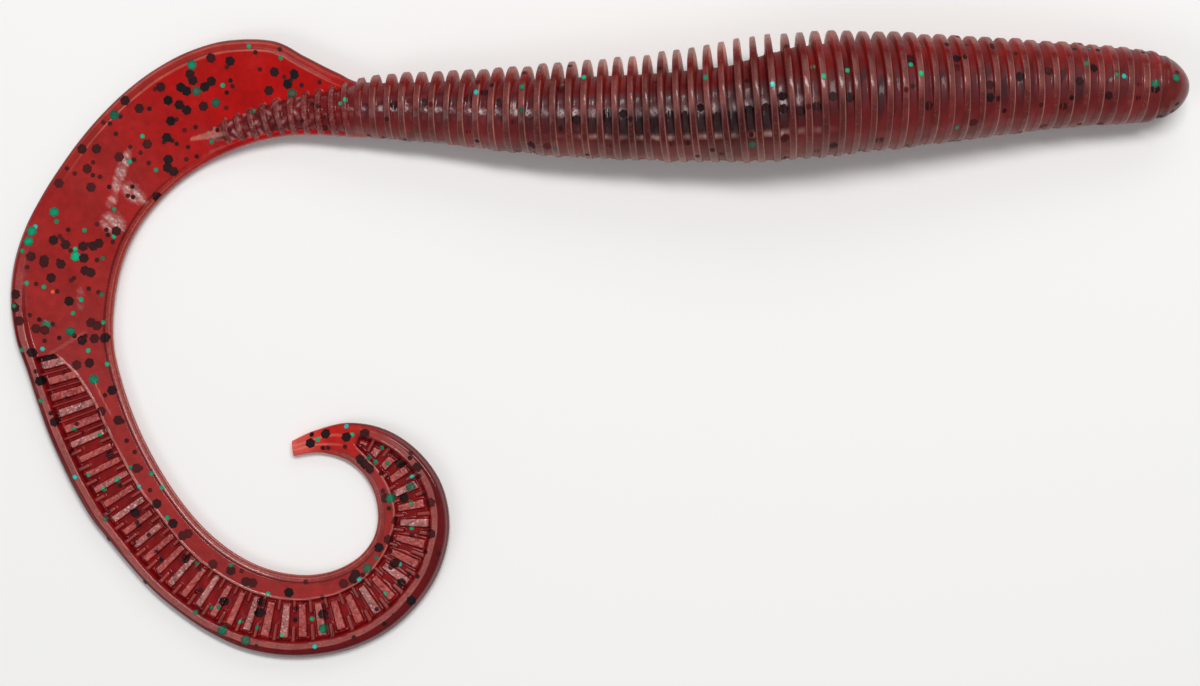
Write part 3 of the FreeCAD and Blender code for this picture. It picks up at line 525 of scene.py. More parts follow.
    # painted highlights: pale lines along both edges of each crest, one edge stronger
    rim = bump(0.365, 0.095, np.abs(o)) * (h > 0) * (x < 73.6) * (1 - sstep(0.50, 0.56, co)) * (1 - slim)
    rim = rim * np.where(o > 0, 0.80, 0.62 - 0.40 * fr) * (0.75 + 0.25 * np.sin(k * 2.9 + phi * 3))
    edge = mix(ramp(co, [(-1, 172, 120, 105), (-0.5, 164, 108, 98), (0, 150, 98, 92), (0.7, 156, 88, 78)]), lin(188, 132, 118)[None], fr * 0.6)
    body = mix(body, edge, rim)
    near = sstep(60.0, 74.0, x)
    body = mix(body, lin(112, 30, 30)[None], near * 0.55 * (1 - sstep(0.5, 0.9, h)))
    dome = ramp(co, [(-0.95, 84, 24, 22), (-0.6, 108, 34, 29), (0.1, 104, 34, 30), (0.6, 116, 24, 19), (0.97, 84, 18, 15)])
    body = mix(body, dome, sstep(73.6, 74.4, x))
    body = body * (1 + 0.12 * wave(x * 0.8, phi * 2, 11) + 0.07 * wave(x * 2.9, phi * 7, 12))[:, None]
    frost_b = 0.04 * sstep(0.93, 0.985, h) * (x < 74)
    # the slots are dull, but for a broken gleam over the top of the thicker half; the walls are dull
    gleam = bump(-0.02, 0.22, co) * (1 - sstep(22, 34, x))
    dull = (1 - sstep(0.5, 0.95, h)) * (x < 74) * (1 - gleam)
    dull = np.maximum(dull, 0.5 * sstep(0.80, 0.95, np.abs(co)))
    frost_b = frost_b - dull
    out, frost = body, frost_b
    t = info["t"].ravel()
    if t.any():
        m = info["tail"]
        l = s[t] - BODY_LEN
        nt = int(t.sum())
        up = q[t] <= 1
        X, Y = P.reshape(-1, 3)[t][:, 0], P.reshape(-1, 3)[t][:, 1]
        d, di = m["d"], m["di"]
        # bright red where the plastic is thin, over the web and towards the tip: painted light let through the thin
        # plastic
        c = mix(np.repeat(lin(172, 6, 5)[None], nt, 0), lin(156, 32, 30)[None], sstep(18, 36, l))
        c = mix(c, lin(151, 43, 42)[None], sstep(44, 64, l))
        c = mix(c, lin(192, 28, 20)[None], sstep(141, 149, l) * 0.95)
        c = mix(c, lin(214, 96, 84)[None], sstep(149.5, 154, l) * 0.75)
        f = np.zeros(nt)
        thick = sstep(-3, 12, l) * (1 - sstep(26, 44, l))                 # the web's raised outer rim
        c = mix(c, lin(156, 44, 38)[None], thick * (1 - sstep(1.45, 1.75, d)) * 0.7)
        # painted highlights: two pale lines on top of the web's rim
        c = mix(c, lin(178, 92, 80)[None], thick * bump(0.60, 0.18, d) * 0.80 * up)
        c = mix(c, lin(206, 124, 108)[None], thick * bump(1.60, 0.13, d) * 0.80 * up)
        # painted shade: a dark line along the outer edge, where the plastic rounds down
        c = mix(c, lin(74, 7, 11)[None], (1 - sstep(0.20, 0.38, d)) * 0.85 * (1 - sstep(146, 151, l)))
        # the bead: painted shade on its outer slope, deep red towards the trough, a painted sheen on its crest with
        # pale painted highlight lines along its edges, and from l 80 a pale line at the outer edge, a painted fringe of
        # the floor shadow
        bk = m["beadk"]
        cc = m["c"]
        c = mix(c, lin(92, 6, 12)[None], bk * (1 - sstep(cc - 0.45, cc - 0.30, d)) * 0.92)
        c = mix(c, lin(118, 9, 15)[None], bk * sstep(cc + 0.28, cc + 0.42, d) * (1 - sstep(m["t0"] - 0.1, m["t0"] + 0.1, d)) * 0.85)
        on_crest = sstep(cc - 0.38, cc - 0.26, d) * (1 - sstep(cc + 0.26, cc + 0.36, d))
        c = mix(c, lin(150, 78, 74)[None], bk * on_crest * 0.9)
        c = mix(c, lin(182, 116, 106)[None], bk * (bump(cc - 0.36, 0.09, d) + 0.7 * bump(cc + 0.33, 0.08, d)) * 0.6 * up)
        c = mix(c, lin(166, 92, 84)[None], bk * bump(0.30, 0.08, d) * 0.45 * sstep(80, 100, l) * up)
        f = np.maximum(f, bk * on_crest * 0.10)
        # the inner rim, with a dark painted shade line at its foot and pale painted highlight lines along it
        rk = m["rim_k"]
        c = mix(c, lin(72, 6, 12)[None], rk * bump(1.00, 0.17, di) * 0.9 * (0.55 + 0.45 * sstep(28, 44, l)) * (1 - sstep(118, 135, l) * 0.5))
        rim_c = mix(np.repeat(lin(150, 46, 41)[None], nt, 0), lin(140, 52, 48)[None], sstep(60, 85, l))
        on_rim = rk * (1 - sstep(0.78, 0.88, di))
        c = mix(c, rim_c, on_rim * 0.85)
        c = mix(c, lin(188, 122, 110)[None], rk * (bump(0.42, 0.10, di) * 0.50 + bump(0.06, 0.12, di) * 0.55) * up)
        f = np.maximum(f, on_rim * 0.07)
        # the ladder, with pale painted highlight patches and dark painted reflection patches on some rib tops
        ins = m["inside"] * up
        lad = mix(np.repeat(lin(128, 16, 20)[None], nt, 0), lin(104, 5, 11)[None], bump(0.5, 0.5, m["fall"]))
        lad = lad * (1 + 0.16 * wave(l * 2.6, d * 2.1, 8))[:, None]
        mott = 0.5 + 0.5 * wave(l * 5.3 + 2.2 * np.sin(d * 2.7 + m["k"]), d * 4.4 + 1.6 * np.sin(l * 3.1), 21)
        # painted highlight: pale glare patches on some rib tops, with dark painted reflection patches in them
        painted_rung_glare = sstep(0.55, 0.9, 0.5 + 0.5 * np.sin(m["k"] * 2.6 + 0.8)) * (0.4 + 0.6 * sstep(0.3, 0.8, mott))
        rung_c = mix(np.repeat(lin(176, 84, 79)[None], nt, 0), lin(142, 42, 42)[None], sstep(0.40, 0.95, mott) * 0.8)
        rung_c = mix(rung_c, lin(182, 138, 132)[None], painted_rung_glare * 0.55)
        rung_c = mix(rung_c, lin(64, 44, 47)[None], 0.75 * sstep(0.72, 1.05, 0.5 + 0.5 * wave(l * 4.3, d * 3.1, 33)) * (0.35 + 0.65 * sstep(0.2, 0.8, painted_rung_glare)))
        lad = mix(lad, rung_c, sstep(0.75, 0.96, m["rung"]))
        lad = mix(lad, lin(144, 68, 63)[None], sstep(0.6, 0.95, m["stubm"]) * 0.85 * (1 - sstep(0.5, 0.9, m["rung"])))
        c = mix(c, lad, ins)
        f = np.where(ins > 0.5, np.maximum(f, sstep(0.75, 0.96, m["rung"]) * (0.22 + 0.70 * painted_rung_glare)), f)
        # painted highlights: pale tops on the fine raised lines
        c = mix(c, lin(190, 120, 110)[None], np.clip(m["line"] * 1.3 - 0.3, 0, 1) * 0.9 * up)
        c = mix(c, lin(190, 108, 98)[None], m["line2"] * 0.8 * up)
        # painted shade: a near-black band in the glossy undercut step at the ladder's head
        step = bump(LADDER0 + 0.28, 0.36, l) * sstep(m["t0"] - 0.35, m["t0"], d) * (1 - sstep(m["t1"] - 0.25, m["t1"] + 0.05, d)) * up
        c = mix(c, lin(22, 8, 12)[None], np.clip(step * 1.6, 0, 1))
        f = f * (1 - np.clip(step * 2, 0, 1))
        # painted highlight along the fold's ridge
        c = mix(c, lin(176, 100, 92)[None], np.clip(m["fold"] * 1.5 - 0.6, 0, 1) * 0.5 * up)
        # painted highlights on the paddle: pale frosted glare patches, streaked with dark painted reflection
        painted_glare = np.zeros(nt)
        glare_mottle = 0.5 + 0.5 * wave(X * 3.1 + 0.7 * np.sin(Y * 1.9), Y * 3.3, 17)
        fine_glare_mottle = 0.5 + 0.5 * wave(X * 7.7, Y * 6.9 + 0.8 * np.sin(X * 5), 19)
        for l_, d_, a_, b_, k_ in ((34.7, 7.1, 3.7, 0.95, 0.95), (35.9, 10.2, 1.35, 2.4, 1.0), (41.2, 10.2, 1.9, 2.0, 0.95), (38.6, 8.4, 1.3, 0.8, 0.6),
                                   (53.5, 9.5, 2.2, 0.7, 0.25)):
            r2 = ((l - l_) / a_) ** 2 + ((d - d_ - 0.33 * (l - l_) * (l_ < 35)) / b_) ** 2
            painted_glare = np.maximum(painted_glare, k_ * (1 - sstep(0.10, 1.0, r2)) * (0.30 + 0.70 * sstep(0.25, 0.80, glare_mottle)) * (0.5 + 0.5 * sstep(0.3, 0.8, fine_glare_mottle)))
        c = mix(c, lin(212, 170, 164)[None], painted_glare * 0.92 * up)
        c = mix(c, lin(52, 26, 30)[None], painted_glare * 0.75 * sstep(0.62, 0.95, 1 - fine_glare_mottle) * (l < 40) * up)
        f = np.maximum(f, painted_glare)
        # lengthwise streaks of the tip
        v_ = q_to_v(q[t])
        tip_s = sstep(146, 150, l) * (bump(0.36 + 0.03 * np.sin(l), 0.07, v_) + bump(0.63, 0.06, v_))
        c = mix(c, lin(214, 130, 120)[None], tip_s * 0.5 * up)
        # stem
        st_c = mix(np.repeat(lin(112, 20, 24)[None], nt, 0), lin(118, 44, 42)[None], sstep(0.55, 0.9, m["hr"]))
        st_c = mix(st_c, lin(166, 98, 90)[None], 0.50 * bump(0.80, 0.16, m["hr"]))
        st_n = np.sin(X * 3.5 + 1.3 * np.sin(Y * 2.2)) * np.sin(Y * 3.1 + 1.2 * np.sin(X * 1.7) + 0.6)
        st_m = sstep(4, 9, m["ss"] - STEM_S0) * (0.35 + 0.65 * (1 - m["hr"]))
        st_c = mix(st_c, lin(176, 140, 138)[None], 0.55 * sstep(0.25, 0.85, st_n) * st_m)
        st_c = mix(st_c, lin(44, 18, 24)[None], 0.65 * sstep(0.30, 0.85, -st_n) * st_m)
        st_c = mix(st_c, lin(150, 72, 64)[None], sstep(20.5, 23.5, m["ss"] - STEM_S0) * 0.6)
        c = mix(c, st_c, m["rodk"])
        left = _sl[-1] - m["ss"]
        spike = (1 - sstep(0.10 + 0.085 * left, 0.24 + 0.105 * left, m["dd"])) * sstep(0.02, 0.3, left) * (1 - sstep(4.0, 4.9, left)) * up
        c = mix(c, lin(198, 112, 98)[None], spike * 0.8)
        f = np.where(m["rodk"] > 0.5, 0.12 * sstep(0.55, 0.9, m["hr"]), f)
        c = c * (1 + 0.07 * wave(X * 0.7, Y * 0.7, 3))[:, None]
        full, ff = np.zeros((n, 3)), np.zeros(n)
        full[t], ff[t] = c, f
        out = mix(body, full, wt)
        frost = frost_b * (1 - wt) + ff * wt
    return np.clip(out, 0, 1), np.clip(frost, -1, 1)


def q_to_v(q):
    return np.where(q <= 1, q, 2 - q)


# ---- meshes --------------------------------------------------------------------
def make_mesh(name, verts, faces_flat, counts, colour, mat, smooth=True, frost=None, sharp=()):
    me = bpy.data.meshes.new(name)
    nv = len(verts)
    me.vertices.add(nv)
    me.vertices.foreach_set("co", (np.asarray(verts, np.float32) / 1000).ravel())
    me.loops.add(len(faces_flat))
    me.loops.foreach_set("vertex_index", np.asarray(faces_flat, np.int32))
    starts = np.r_[0, np.cumsum(counts)[:-1]].astype(np.int32)
    me.polygons.add(len(counts))
    me.polygons.foreach_set("loop_start", starts)
    me.polygons.foreach_set("loop_total", np.asarray(counts, np.int32))
    me.update(calc_edges=True)
    me.validate(clean_customdata=False)
    a = me.color_attributes.new("tint", "FLOAT_COLOR", "POINT")
    a.data.foreach_set("color", np.c_[colour, np.ones(nv)].astype(np.float32).ravel())
    if frost is not None:
        a = me.attributes.new("frost", "FLOAT", "POINT")
        a.data.foreach_set("value", np.asarray(frost, np.float32))
    me.polygons.foreach_set("use_smooth", np.full(len(me.polygons), smooth))
    if len(sharp):                       # the cut ends keep their own flat shading
        ev = np.empty(len(me.edges) * 2, np.int32)
        me.edges.foreach_get("vertices", ev)
        mask = np.zeros(nv, bool)
        mask[list(sharp)] = True
        ev = ev.reshape(-1, 2)
        e = me.attributes.get("sharp_edge") or me.attributes.new("sharp_edge", "BOOLEAN", "EDGE")
        e.data.foreach_set("value", mask[ev].all(1))
    me.materials.append(mat)
    ob = bpy.data.objects.new(name, me)
    bpy.context.scene.collection.objects.link(ob)
    return ob


def gel_piece(name, s0, s1, mat, first, last):
    inner = st[(st > s0 + 0.03) & (st < s1 - 0.03)]
    S = np.r_[[] if first else [s0], inner, [] if last else [s1]]
    P, info = surface(S[:, None], Q[None, :], True)
    col, frost = colours(S[:, None] + 0 * Q[None, :], np.broadcast_to(Q[None, :], (len(S), M)), P, info)
    V = P.reshape(-1, 3)
    n = len(S)
    i = np.arange(n - 1)[:, None] * M
    j = np.arange(M)[None, :]
    jn = (j + 1) % M
    quads = np.stack([i + j, i + M + j, i + M + jn, i + jn], -1).reshape(-1, 4)
    tris, sharp = [], []
    # ends: closed by a fan to the middle
    for end, row in ((0, 0), (1, n - 1)):
        base = row * M
        c = V[base:base + M].mean(0)
        if first and end == 0:
            c = c + np.array([0.05, 0, 0])
        if last and end == 1:
            c = V[base:base + M].mean(0)
        V = np.vstack([V, c])
        col = np.vstack([col, col[base:base + M].mean(0)])
        frost = np.r_[frost, 0.0]
        ci = len(V) - 1
        sharp += [] if (first and end == 0) else list(range(base, base + M))
        a, b = base + np.arange(M), base + (np.arange(M) + 1) % M
        tris.append(np.stack([np.full(M, ci), a, b], -1) if end == 0 else np.stack([np.full(M, ci), b, a], -1))
    tris = np.vstack(tris)
    flat = np.r_[quads.ravel(), tris.ravel()]
    counts = np.r_[np.full(len(quads), 4), np.full(len(tris), 3)]
    ob = make_mesh(name, V, flat, counts, col, mat, frost=frost, sharp=sharp)
    return ob, P


def blend_ends(k, P):
    """Where piece k would start and stop turning: about its hinge, and square to both cut ends."""
    j = next(j for j in frame["record"]["behaviour"]["joints"] if j["name"] == JOINTS[k])
    h = np.array(j["pos_m"]) * 1000
    a, b = P[0], P[-1]
    ca, cb = a.mean(0), b.mean(0)
    if k == 0:
        ca = h + (h - cb)
    d = (cb - ca) / np.linalg.norm(cb - ca)
    lo = -1e9 if k == 0 else (a @ d).max() + 0.02
    hi = 1e9 if k == len(JOINTS) - 1 else (b @ d).min() - 0.02
    hp = h @ d
    half = min(hp - lo, hi - hp)
    if k == 0:
        half = min(half, 8.0)
    if k == len(JOINTS) - 1:
        half = min(half, 7.0)
    start = h + d * (-half)
    end = h + d * half
    return j, start / 1000, end / 1000, half


# ---- materials -------------------------------------------------------------------
def plastic():
    """Soft translucent plastic: oily gloss, mottled depth, and a fine frost on the places
    that the mesh marks as frosted, whose sparkle is painted into the base colour as pale specks."""
    mat = bpy.data.materials.new("soft_plastic_red")
    mat.use_nodes = True
    nt = mat.node_tree
    bsdf = next(n for n in nt.nodes if n.type == "BSDF_PRINCIPLED")
    N = nt.nodes.new

    def noise(scale, detail):
        n = N("ShaderNodeTexNoise")
        n.inputs["Scale"].default_value = scale
        n.inputs["Detail"].default_value = detail
        nt.links.new(tc.outputs["Object"], n.inputs["Vector"])
        return n.outputs["Fac"]

    def span(value, a, b, c, d):
        r = N("ShaderNodeMapRange")
        for k, v in zip(("From Min", "From Max", "To Min", "To Max"), (a, b, c, d)):
            r.inputs[k].default_value = v
        nt.links.new(value, r.inputs["Value"])
        return r.outputs["Result"]

    def math_(op, u, v):
        m = N("ShaderNodeMath")
        m.operation = op
        for k, w_ in enumerate((u, v)):
            if isinstance(w_, (int, float)):
                m.inputs[k].default_value = w_
            else:
                nt.links.new(w_, m.inputs[k])
        return m.outputs[0]

    def blend_(kind, fac, u, v):
        m = N("ShaderNodeMix")
        m.data_type = "RGBA"
        m.blend_type = kind
        if isinstance(fac, (int, float)):
            m.inputs["Factor"].default_value = fac
        else:
            nt.links.new(fac, m.inputs["Factor"])
        for k, w_ in (("A", u), ("B", v)):
            if isinstance(w_, tuple):
                m.inputs[k].default_value = w_
            else:
                nt.links.new(w_, m.inputs[k])
        return m.outputs["Result"]

    tc = N("ShaderNodeTexCoord")
    at = N("ShaderNodeAttribute"); at.attribute_name = "tint"
    fr = N("ShaderNodeAttribute"); fr.attribute_name = "frost"
    frost = fr.outputs["Fac"]
    mid, broad, fine = noise(900, 4), noise(160, 3), noise(3200, 2)
    shade = span(mid, 0.3, 0.7, 0.86, 1.12)
    base = blend_("MULTIPLY", 1.0, at.outputs["Color"], shade)
    # painted highlight: pale sparkle specks mixed into the base colour in the frost, and small dark spots
    spark = math_("MULTIPLY", span(fine, 0.555, 0.66, 0.0, 0.80), frost)
    base = blend_("MIX", spark, base, (0.86, 0.74, 0.74, 1))
    spot = math_("MULTIPLY", span(noise(1700, 2), 0.60, 0.72, 0.0, 0.55), frost)
    base = blend_("MIX", spot, base, (0.10, 0.03, 0.035, 1))
    nt.links.new(base, bsdf.inputs["Base Color"])
    # gloss, uneven from handling, and dull where frosted
    rough = math_("ADD", span(broad, 0.35, 0.68, 0.14, 0.28), span(frost, 0.0, 1.0, 0.0, 0.34))
    rough = math_("ADD", rough, span(frost, 0.0, -1.0, 0.0, 0.42))
    nt.links.new(rough, bsdf.inputs["Roughness"])
    b = N("ShaderNodeBump"); b.inputs["Distance"].default_value = 0.00006
    nt.links.new(fine, b.inputs["Height"])
    nt.links.new(span(frost, 0.0, 1.0, 0.16, 0.85), b.inputs["Strength"])
    b2 = N("ShaderNodeBump"); b2.inputs["Strength"].default_value = 0.40; b2.inputs["Distance"].default_value = 0.00012
    nt.links.new(mid, b2.inputs["Height"])
    nt.links.new(b.outputs["Normal"], b2.inputs["Normal"])
    nt.links.new(b2.outputs["Normal"], bsdf.inputs["Normal"])
    bsdf.inputs["IOR"].default_value = 1.47
    bsdf.inputs["Specular IOR Level"].default_value = 0.25
    bsdf.inputs["Subsurface Weight"].default_value = 0.15
    bsdf.inputs["Subsurface Radius"].default_value = (1.0, 0.12, 0.10)
    bsdf.inputs["Subsurface Scale"].default_value = 0.0009
    bsdf.inputs["Coat Weight"].default_value = 0.11
    bsdf.inputs["Coat Roughness"].default_value = 0.10
    return mat


def flake_mat(name, rough, metal, coat):
    mat = bpy.data.materials.new(name)
    mat.use_nodes = True
    nt = mat.node_tree
    bsdf = next(n for n in nt.nodes if n.type == "BSDF_PRINCIPLED")
    N = nt.nodes.new
    at = N("ShaderNodeAttribute"); at.attribute_name = "tint"
    tc = N("ShaderNodeTexCoord")
    n1 = N("ShaderNodeTexNoise"); n1.inputs["Scale"].default_value = 2400; n1.inputs["Detail"].default_value = 3
    nt.links.new(tc.outputs["Object"], n1.inputs["Vector"])
    r = N("ShaderNodeMapRange"); r.inputs["From Min"].default_value = 0.3; r.inputs["From Max"].default_value = 0.7
    r.inputs["To Min"].default_value = 0.80; r.inputs["To Max"].default_value = 1.18
    nt.links.new(n1.outputs["Fac"], r.inputs["Value"])
    mx = N("ShaderNodeMix"); mx.data_type = "RGBA"; mx.blend_type = "MULTIPLY"; mx.inputs["Factor"].default_value = 1.0
    nt.links.new(at.outputs["Color"], mx.inputs["A"])
    nt.links.new(r.outputs["Result"], mx.inputs["B"])
    nt.links.new(mx.outputs["Result"], bsdf.inputs["Base Color"])
    b = N("ShaderNodeBump"); b.inputs["Strength"].default_value = 0.3; b.inputs["Distance"].default_value = 0.00006
    nt.links.new(n1.outputs["Fac"], b.inputs["Height"])
    nt.links.new(b.outputs["Normal"], bsdf.inputs["Normal"])
    bsdf.inputs["Roughness"].default_value = rough
    bsdf.inputs["Metallic"].default_value = metal
    bsdf.inputs["Specular IOR Level"].default_value = 0.16
    bsdf.inputs["IOR"].default_value = 1.47
    bsdf.inputs["Coat Weight"].default_value = coat
    bsdf.inputs["Coat Roughness"].default_value = 0.15
    return mat


MAT = plastic()
M_BLACK = flake_mat("black_flake_film", 0.58, 0.0, 0.0)
M_GREEN = flake_mat("green_flake_film", 0.30, 0.0, 0.2)
M_RED = flake_mat("red_flake_film", 0.35, 0.0, 0.3)

BODIES = ["head", "shoulder", "belly", "waist", "hip", "neck", "fan", "web", "paddle", "ribbon_1", "ribbon_2",
          "ribbon_3", "bend", "curl", "tip"]
NODE = {b: ("body_" if i < 6 else "tail_") + b for i, b in enumerate(BODIES)}

ends = []
for k in range(14):
    ob, P = gel_piece("plastic_%02d_%s" % (k + 1, BODIES[k + 1]), CUTS[k], CUTS[k + 1], MAT, k == 0, k == 13)
    j, a, b, half = blend_ends(k, P)
    ends.append((j, a, b))
    print("piece", k + 1, ob.name, len(ob.data.vertices), "blend half %.2f mm" % half)
    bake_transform(ob)
    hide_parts(*([NODE["head"], NODE["shoulder"]] if k == 0 else [NODE[BODIES[k + 1]]]))


# ---- flakes ----------------------------------------------------------------------
HEX = []


def hex_grid(across, step):
    """Points and triangles of a six-sided plate about the origin, finely divided."""
    r = across / math.sqrt(3)
    n = max(2, int(math.ceil(r / step)))
    pts, idx = [], {}
    for a in range(-n, n + 1):
        for b in range(-n, n + 1):
            if abs(a + b) <= n:
                idx[(a, b)] = len(pts)
                pts.append(((a + b / 2) * r / n, b * math.sqrt(3) / 2 * r / n))
    tri = []
    for (a, b), i in idx.items():
        if (a + 1, b) in idx and (a, b + 1) in idx:
            tri.append((i, idx[(a + 1, b)], idx[(a, b + 1)]))
        if (a + 1, b) in idx and (a + 1, b - 1) in idx:
            tri.append((i, idx[(a + 1, b - 1)], idx[(a + 1, b)]))
    # rim in order
    rim = []
    c = [(n, 0), (0, n), (-n, n), (-n, 0), (0, -n), (n, -n)]
    for u, w in zip(c, c[1:] + c[:1]):
        for t in range(n):
            rim.append(idx[(u[0] + (w[0] - u[0]) * t // n, u[1] + (w[1] - u[1]) * t // n)])
    return np.array(pts), np.array(tri), rim, r


GRID_BIG = hex_grid(1.22, 0.13)
GRID_MID = hex_grid(1.02, 0.13)
GRID_SMALL = hex_grid(0.60, 0.13)


class Bag:
    """Closed plates gathered into one mesh."""

    def __init__(self):
        self.v, self.f, self.c, self.n = [], [], [], 0

    def add(self, top, low, tri, rim, col):
        m = len(top)
        self.v += [top, low]
        self.c += [col, col]
        t = np.asarray(tri)
        side = []
        for a, b in zip(rim, rim[1:] + rim[:1]):
            side += [(a, a + m, b + m), (a, b + m, b)]
        f = np.vstack([t, t[:, ::-1] + m, np.array(side)]) + self.n
        self.f.append(f)
        self.n += 2 * m


def stretch_at(s, q):
    """How far the surface moves, in mm, per unit of s and of q."""
    if s < BODY_LEN:
        return 1.0, math.pi * float(cubic(BODY, 2, np.array([NOSE_X - s]))[0] + cubic(BODY, 3, np.array([NOSE_X - s]))[0]) / 2
    o, i = tail_edges(np.array([s - BODY_LEN]))
    w = float(np.hypot(*(i - o)[0]))
    e = 0.2
    lo, hi = tail_edges(np.array([s - BODY_LEN - e])), tail_edges(np.array([min(s - BODY_LEN + e, TAIL_LEN)]))
    v = q if q <= 1 else 2 - q
    a = lo[0][0] * (1 - v) + lo[1][0] * v
    b = hi[0][0] * (1 - v) + hi[1][0] * v
    return max(0.3, float(np.hypot(*(b - a))) / (2 * e)), w


def plate(bag, s, q, big, turn, col_mid, col_rim, lift):
    pts, tri, rim, r = (GRID_MID if s < BODY_LEN - 1 else GRID_BIG) if big else GRID_SMALL
    ds, dq = stretch_at(s, q)
    c, sn = math.cos(turn), math.sin(turn)
    a = pts[:, 0] * c - pts[:, 1] * sn
    b = pts[:, 0] * sn + pts[:, 1] * c
    S = s + a / ds
    K = q + b / dq
    if s > BODY_LEN + 3:                      # the tail: stay on this face
        K = np.clip(K, 0.015, 0.985) if q < 1 else np.clip(K, 1.015, 1.985)
    S = np.clip(S, 0.25, TOTAL - 0.5)
    P = surface(S, K)
    e = 0.03
    n = np.cross(surface(S + e, K) - P, surface(S, K + e / max(dq, 1)) - P)
    ln = np.linalg.norm(n, axis=1, keepdims=True)
    n = n / np.maximum(ln, 1e-9)
    # outward: away from the section's middle
    mid = surface(S, K)
    cen = np.array([0, 0, 1.0]) if (s > BODY_LEN + 3 and q < 1) else None
    flip = np.sign((n * outward(S, K, P)).sum(1))[:, None]
    n = n * np.where(flip == 0, 1, flip)
    n = n.mean(0) * 0.35 + n * 0.65
    n /= np.linalg.norm(n, axis=1, keepdims=True)
    rad = np.hypot(pts[:, 0], pts[:, 1]) / r
    col = mix(np.repeat(col_mid[None], len(pts), 0), col_rim[None], sstep(0.45, 0.85, rad))
    top = P + n * lift
    low = P - n * 0.09
    if (surface_turn(top, tri, n)) < 0:
        tri = tri[:, ::-1]
        rim = rim[::-1]
    bag.add(top, low, tri, list(rim), col)


def surface_turn(P, tri, n):
    f = np.cross(P[tri[:, 1]] - P[tri[:, 0]], P[tri[:, 2]] - P[tri[:, 0]]).sum(0)
    return float(f @ n.mean(0))


def outward(S, K, P):
    x = NOSE_X - S
    body = S < BODY_LEN - 1
    y = np.where(body, cubic(BODY, 1, np.clip(x, -36, 79)), P[:, 1] - SY)
    z = np.where(body, cubic(BODY, 2, np.clip(x, -36, 79)), np.interp(S - BODY_LEN, MID_Z[:, 0], MID_Z[:, 1]))
    o = P - np.stack([P[:, 0], y + SY, z], -1)
    return o


print("stations", len(st), "round", M)
bags = [{"black": Bag(), "green": Bag(), "red": Bag()} for _ in range(14)]
R = random.Random(2207)
taken = []


def tone(kind, depth, bright=0.0):
    """Colours of a flake, middle and rim, faded towards the plastic as it lies deeper; a green flake's brightness is a
    painted sparkle.
    """
    if kind == "black":
        near, deep = lin(17, 9, 13), lin(96, 22, 24)
        c = near * (1 - depth) + deep * depth
        return c, c * 0.92
    if kind in ("green", "cyan"):
        a, b = lin(14, 84, 68), (lin(0, 190, 136) if kind == "green" else lin(30, 200, 190))
        # painted highlight: brightness lifts a green flake towards a light sparkling green
        c = a * (1 - bright) + b * bright
        c = c * (1 - 0.45 * depth) + lin(110, 40, 40) * 0.45 * depth
        return c, c * 0.55
    return lin(236, 92, 58), lin(200, 60, 40)


def add(kind, s, q, big, depth=0.2, bright=0.0):
    k = int(np.clip(np.searchsorted(CUTS, s) - 1, 0, 13))
    # keep each plate inside its own piece
    m = 0.75 if big else 0.4
    s = min(max(s, CUTS[k] + (m if k else 0.9)), CUTS[k + 1] - m)
    x = NOSE_X - s
    if ring_x[0] - 1 < x < ring_x[-1] + 0.6:              # on the rings: a small one may lie on a crest
        r_ = int(np.clip(round((x - RING_FIRST) / RING_PITCH), 0, RING_COUNT - 1))
        c_ = float(ring_x[r_] + ring_jit[r_])
        if not big and abs(x - c_) < 0.45:
            x = c_
        else:
            x = c_ + math.copysign(RING_PITCH / 2, x - c_)
            if not CUTS[k] + m < NOSE_X - x < CUTS[k + 1] - m:
                x = 2 * c_ - x
        s = NOSE_X - x
    a, b = tone(kind, depth, bright)
    n = len(taken)
    plate(bags[k]["green" if kind == "cyan" else kind], s, q, big, R.uniform(0, 1.05), a, b, 0.008 + 0.003 * (n % 6))
    taken.append((s, q, 0.62 if big else 0.31))


# the flakes that stand out.  Body: x, share round, kind, large, depth, brightness (a painted sparkle).
ON_BODY = [
    (75.7, 0.428, "g", 1, 0.1, 0.35), (68.3, 0.459, "c", 0, 0, 1), (72.2, 0.511, "g", 1, 0.1, 0.2), (40.4, 0.447, "g", 0, 0, 1),
    (40.1, 0.376, "g", 0, 0, 0.8), (14.8, 0.393, "g", 0, 0.2, 0.5), (-1.9, 0.314, "g", 0, 0.1, 0.9), (-16.1, 0.398, "c", 0, 0, 0.9),
    (55.7, 0.467, "b", 1, 0.1, 0), (22.4, 0.469, "c", 0, 0, 0.8), (28.5, 0.445, "g", 0, 0.1, 0.7), (31.3, 0.404, "g", 0, 0.1, 0.8),
    (27.4, 0.36, "g", 0, 0.2, 0.5), (-33.6, 0.43, "g", 0, 0, 1), (64.8, 0.40, "b", 1, 0.1, 0), (63.2, 0.37, "g", 0, 0.1, 0.3),
    (65.1, 0.62, "b", 1, 0.2, 0), (60.6, 0.63, "b", 0, 0.1, 0), (72.0, 0.56, "b", 1, 0.1, 0), (46.9, 0.34, "b", 0, 0.2, 0),
    (50.1, 0.52, "b", 1, 0.3, 0), (24.2, 0.53, "b", 1, 0.1, 0), (-9.3, 0.36, "g", 0, 0.2, 0.4), (-27.4, 0.52, "b", 1, 0.1, 0)]
